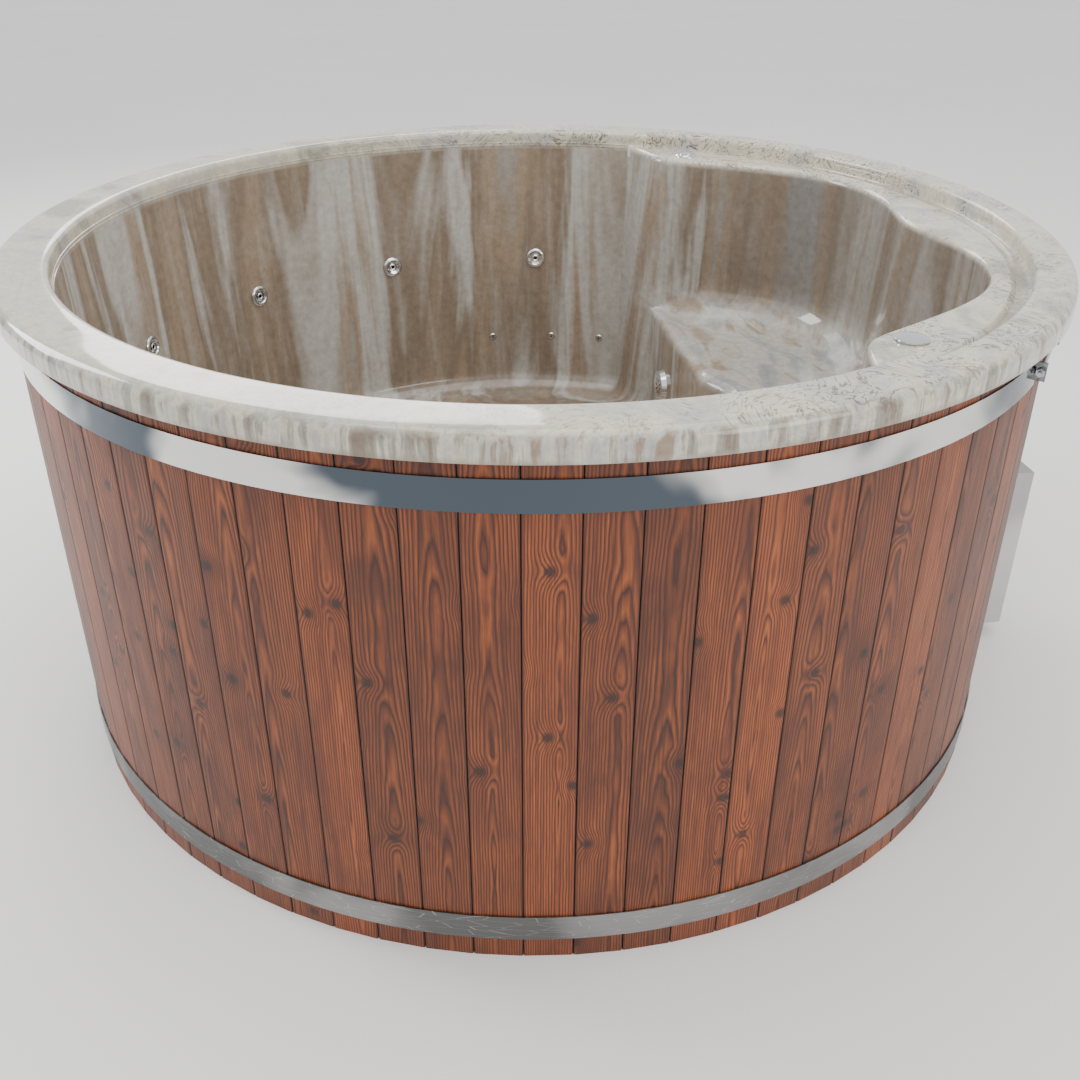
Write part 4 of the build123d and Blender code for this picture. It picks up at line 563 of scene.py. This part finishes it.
def addObject(mesh, name, material=None):
    obj = bpy.data.objects.new(name, mesh)
    bpy.context.scene.collection.objects.link(obj)
    if material is not None:
        mesh.materials.clear()
        mesh.materials.append(material)
    return obj


def plainCopy(obj, name, material):
    # what the modifiers make, as a plain mesh
    graph = bpy.context.evaluated_depsgraph_get()
    mesh = bpy.data.meshes.new_from_object(obj.evaluated_get(graph))
    bpy.data.objects.remove(obj)
    return addObject(mesh, name, material)


# holes through the shell, where its fittings pass
fittings = {
    "jets": [81, 107, 133, 159], "jetLevel": 630, "jetHole": 17.5,
    "injectors": [69, 78, 89], "injectorLevel": 410, "injectorHole": 5.5,
    "controls": 53.8, "controlRadius": 830, "controlHole": 16.5,
    "pipeHole": 25.5, "riserLevels": [380, 165], "suctionOffset": 470, "suctionLevel": 395,
    "drainLevel": 155, "drainHole": 20.5, "reach": 26,
}


def polar(radius, angle, height):
    a = math.radians(angle)
    return Vector((radius * math.cos(a), radius * math.sin(a), height)) / 1000


def bothSides(angles):
    return list(angles) + [-a for a in angles]


def wallFrame(angle, height):
    # point on the inner wall and the direction into the water
    s = shellForm
    slope = (s["mouthRadius"] - s["benchRadius"]) / (s["rimTop"] - s["benchTop"])
    lean = math.atan(slope)
    a = math.radians(angle)
    radius = s["benchRadius"] + slope * (height - s["benchTop"])
    inward = Vector((-math.cos(a) * math.cos(lean), -math.sin(a) * math.cos(lean), math.sin(lean)))
    return polar(radius, angle, height), inward


def holeCutters():
    f = fittings
    work = bmesh.new()
    reach = f["reach"] / 1000

    def bore(centre, axis, radius):
        turn = Vector((0, 0, 1)).rotation_difference(Vector(axis)).to_matrix().to_4x4()
        bmesh.ops.create_cone(
            work, cap_ends=True, segments=40, radius1=radius / 1000, radius2=radius / 1000,
            depth=2 * reach, matrix=Matrix.Translation(centre) @ turn,
        )
    for angle in bothSides(f["jets"]):
        bore(*wallFrame(angle, f["jetLevel"]), f["jetHole"])
    for angle in bothSides(f["injectors"]):
        bore(*wallFrame(angle, f["injectorLevel"]), f["injectorHole"])
    for angle in bothSides([f["controls"]]):
        bore(polar(f["controlRadius"], angle, shellForm["ledgeTop"]), (0, 0, 1), f["controlHole"])
    riser = shellForm["seatFront"] + shellForm["recessDepth"]
    for level in f["riserLevels"]:
        bore(Vector((riser, 0, level)) / 1000, (1, 0, 0), f["pipeHole"])
    for side in (-1, 1):
        centre = Vector((shellForm["seatFront"], side * f["suctionOffset"], f["suctionLevel"])) / 1000
        bore(centre, (1, 0, 0), f["pipeHole"])
    drainFace = shellForm["floorRadius"] + 20 * (f["drainLevel"] - 100) / 165
    bore(Vector((0, drainFace, f["drainLevel"])) / 1000, (0, 1, 0), f["drainHole"])
    mesh = bpy.data.meshes.new("holeCutters")
    work.to_mesh(mesh)
    work.free()
    return addObject(mesh, "holeCutters")


rawShell = addObject(shellMesh(), "rawShell", finishes["acrylic"])
cutters = holeCutters()
cut = rawShell.modifiers.new("holes", "BOOLEAN")
cut.operation = "DIFFERENCE"
cut.solver = "EXACT"
cut.object = cutters
mouldedShell = plainCopy(rawShell, "mouldedShell", finishes["acrylic"])
bpy.data.objects.remove(cutters)
mouldedShell.data.shade_smooth()
mouldedShell.data.set_sharp_from_angle(angle=math.radians(38))
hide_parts("shell")
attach(mouldedShell, "tub")
print("shell with", len(mouldedShell.data.polygons), "faces")


# cladding boards, set round the tub by geometry nodes
boards = {
    "count": stain["count"], "radius": 971, "thick": 28, "bevel": 2.6, "gap": 0.5, "top": 952.5,
    "endRound": 2, "cutBoards": 5, "sway": 0.5, "seed": 7,
}


def boardSection():
    # half outline of a board's face side, in local x outward and y across
    b = boards
    half = math.pi / b["count"]
    face = b["radius"] * math.cos(half)
    side = b["radius"] * math.sin(half) - b["gap"] / 2
    back = b["radius"] - b["thick"]
    backSide = side * back / face
    bevel = b["bevel"]
    right = [(back, backSide), (face - bevel - 1.2, side - (bevel + 1.2) * math.sin(half))]
    for k in range(5):
        t = math.radians(90 * k / 4)
        right.append((face - bevel + bevel * math.sin(t) * 0.98, side - bevel + bevel * math.cos(t) * 0.96))
    right.append((face - 0.1, side * 0.5))
    return [(x, -y) for x, y in right] + [(x, y) for x, y in reversed(right)]


def boardMesh(name, low, high):
    section = boardSection()
    b = boards
    levels = [(low, 0.9), (low + b["endRound"], 0.0)]
    spans = max(1, int((high - low) / 160))
    straight = high - low - 2 * b["endRound"]
    levels += [(low + b["endRound"] + straight * k / spans, 0.0) for k in range(1, spans)]
    levels += [(high - b["endRound"], 0.0), (high, 0.9)]
    middle = sum(x for x, y in section) / len(section)
    vertices, faces = [], []
    for z, inset in levels:
        for x, y in section:
            drawnIn = x + (middle - x) * inset * 0.06
            vertices.append((drawnIn / 1000, y * (1 - inset * 0.03) / 1000, z / 1000))
    n = len(section)
    for k in range(len(levels) - 1):
        for i in range(n):
            j = (i + 1) % n
            faces.append((k * n + i, k * n + j, (k + 1) * n + j, (k + 1) * n + i))
    faces.append(tuple(reversed(range(n))))
    faces.append(tuple(range((len(levels) - 1) * n, len(levels) * n)))
    mesh = bpy.data.meshes.new(name)
    mesh.from_pydata(vertices, [], faces)
    work = bmesh.new()
    work.from_mesh(mesh)
    bmesh.ops.recalc_face_normals(work, faces=work.faces)
    work.to_mesh(mesh)
    work.free()
    return mesh


def boardRing():
    tree = bpy.data.node_groups.new("boardRing", "GeometryNodeTree")
    face = tree.interface
    face.new_socket("Geometry", in_out="OUTPUT", socket_type="NodeSocketGeometry")
    sockets = {}
    for name, kind in (
        ("Board", "NodeSocketObject"), ("Count", "NodeSocketInt"), ("Start", "NodeSocketFloat"),
        ("Pitch", "NodeSocketFloat"), ("Sway", "NodeSocketFloat"), ("Seed", "NodeSocketInt"),
        ("Finish", "NodeSocketMaterial"),
    ):
        sockets[name] = face.new_socket(name, in_out="INPUT", socket_type=kind).identifier
    given = tree.nodes.new("NodeGroupInput")
    out = tree.nodes.new("NodeGroupOutput")

    def put(kind, links=None, **settings):
        node = tree.nodes.new(kind)
        for key, value in settings.items():
            setattr(node, key, value)
        for socket, source in (links or {}).items():
            tree.links.new(source, node.inputs[socket])
        return node
    spots = put("GeometryNodePoints", {"Count": given.outputs["Count"]})
    index = put("GeometryNodeInputIndex")
    turn = put("ShaderNodeMath", {
        0: index.outputs[0], 1: given.outputs["Pitch"], 2: given.outputs["Start"],
    }, operation="MULTIPLY_ADD")
    spin = put("ShaderNodeCombineXYZ", {"Z": turn.outputs[0]})
    board = put("GeometryNodeObjectInfo", {"Object": given.outputs["Board"]})
    ring = put("GeometryNodeInstanceOnPoints", {
        "Points": spots.outputs[0], "Instance": board.outputs["Geometry"], "Rotation": spin.outputs[0],
    })
    inward = put("ShaderNodeMath", {0: given.outputs["Sway"]}, operation="MULTIPLY")
    inward.inputs[1].default_value = -1
    shift = put("FunctionNodeRandomValue", {"Seed": given.outputs["Seed"]}, data_type="FLOAT")
    tree.links.new(inward.outputs[0], shift.inputs[2])
    shift.inputs[3].default_value = 0
    away = put("ShaderNodeCombineXYZ", {"X": shift.outputs[1]})
    moved = put("GeometryNodeTranslateInstances", {
        "Instances": ring.outputs[0], "Translation": away.outputs[0],
    })
    real = put("GeometryNodeRealizeInstances", {"Geometry": moved.outputs[0]})
    done = put("GeometryNodeSetMaterial", {"Geometry": real.outputs[0], "Material": given.outputs["Finish"]})
    tree.links.new(done.outputs[0], out.inputs[0])
    return tree, sockets


def layBoards(name, board, count, first):
    tree, sockets = boardRing()
    holder = addObject(bpy.data.meshes.new(name), name + "Holder")
    modifier = holder.modifiers.new("ring", "NODES")
    modifier.node_group = tree
    pitch = 2 * math.pi / boards["count"]
    for key, value in (
        ("Board", board), ("Count", count), ("Start", pitch * first), ("Pitch", pitch),
        ("Sway", boards["sway"] / 1000), ("Seed", boards["seed"] + first), ("Finish", finishes["boards"]),
    ):
        modifier[sockets[key]] = value
    obj = plainCopy(holder, name, finishes["boards"])
    obj.data.shade_smooth()
    obj.data.set_sharp_from_angle(angle=math.radians(50))
    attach(obj, "tub")
    return obj


half = boards["cutBoards"] // 2
wholeBoard = addObject(boardMesh("wholeBoard", 0, boards["top"]), "wholeBoard")
wholeRing = layBoards("claddingBoards", wholeBoard, boards["count"] - boards["cutBoards"], half + 1)
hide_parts("staves")
bpy.data.objects.remove(wholeBoard)
print("boards laid")


# pale studio
studio = {"floorSize": 60, "floorColour": (0.90, 0.89, 0.87), "skyColour": (0.97, 0.98, 1.0), "sky": 1.12}


lights = [
    ("windowLeft", (-3.6, 1.6, 2.6), (0.1, 0, 0.7), (1.4, 2.2), 110, (0.95, 0.97, 1.0)),
    ("windowBack", (-0.6, 4.4, 3.0), (0.1, 0, 0.6), (2.6, 1.4), 70, (1.0, 0.98, 0.95)),
    ("softTop", (0.4, -0.4, 4.2), (0, 0, 0), (3.2, 3.2), 90, (1.0, 0.97, 0.93)),
    ("frontFill", (3.0, -4.2, 2.4), (0.2, 0, 0.5), (2.4, 2.0), 70, (1.0, 0.97, 0.92)),
]


def addArea(name, spot, target, size, power, colour):
    data = bpy.data.lights.new(name, "AREA")
    data.shape = "RECTANGLE"
    data.size, data.size_y = size
    data.energy = power
    data.color = colour
    light = bpy.data.objects.new(name, data)
    bpy.context.scene.collection.objects.link(light)
    light.location = spot
    light.rotation_euler = (Vector(target) - Vector(spot)).to_track_quat("-Z", "Y").to_euler()


floorMesh = bpy.data.meshes.new("studioFloor")
h = studio["floorSize"] / 2
floorMesh.from_pydata([(-h, -h, 0), (h, -h, 0), (h, h, 0), (-h, h, 0)], [], [(0, 1, 2, 3)])
floorMaterial, floorTree, floorShader = newMaterial("paleFloor", 0.7)
paint(floorTree, floorShader, ramp(floorTree, noise(floorTree, objectCoords(floorTree), 0.8, 3), [
    (0.3, studio["floorColour"]), (0.7, tuple(v * 1.03 for v in studio["floorColour"])),
]))
studioFloor = addObject(floorMesh, "studioFloor", floorMaterial)
world = bpy.data.worlds.new("paleSky")
world.use_nodes = True
world.node_tree.nodes["Background"].inputs[0].default_value = (*studio["skyColour"], 1)
world.node_tree.nodes["Background"].inputs[1].default_value = studio["sky"]
bpy.context.scene.world = world
for light in lights:
    addArea(*light)
print("studio set")
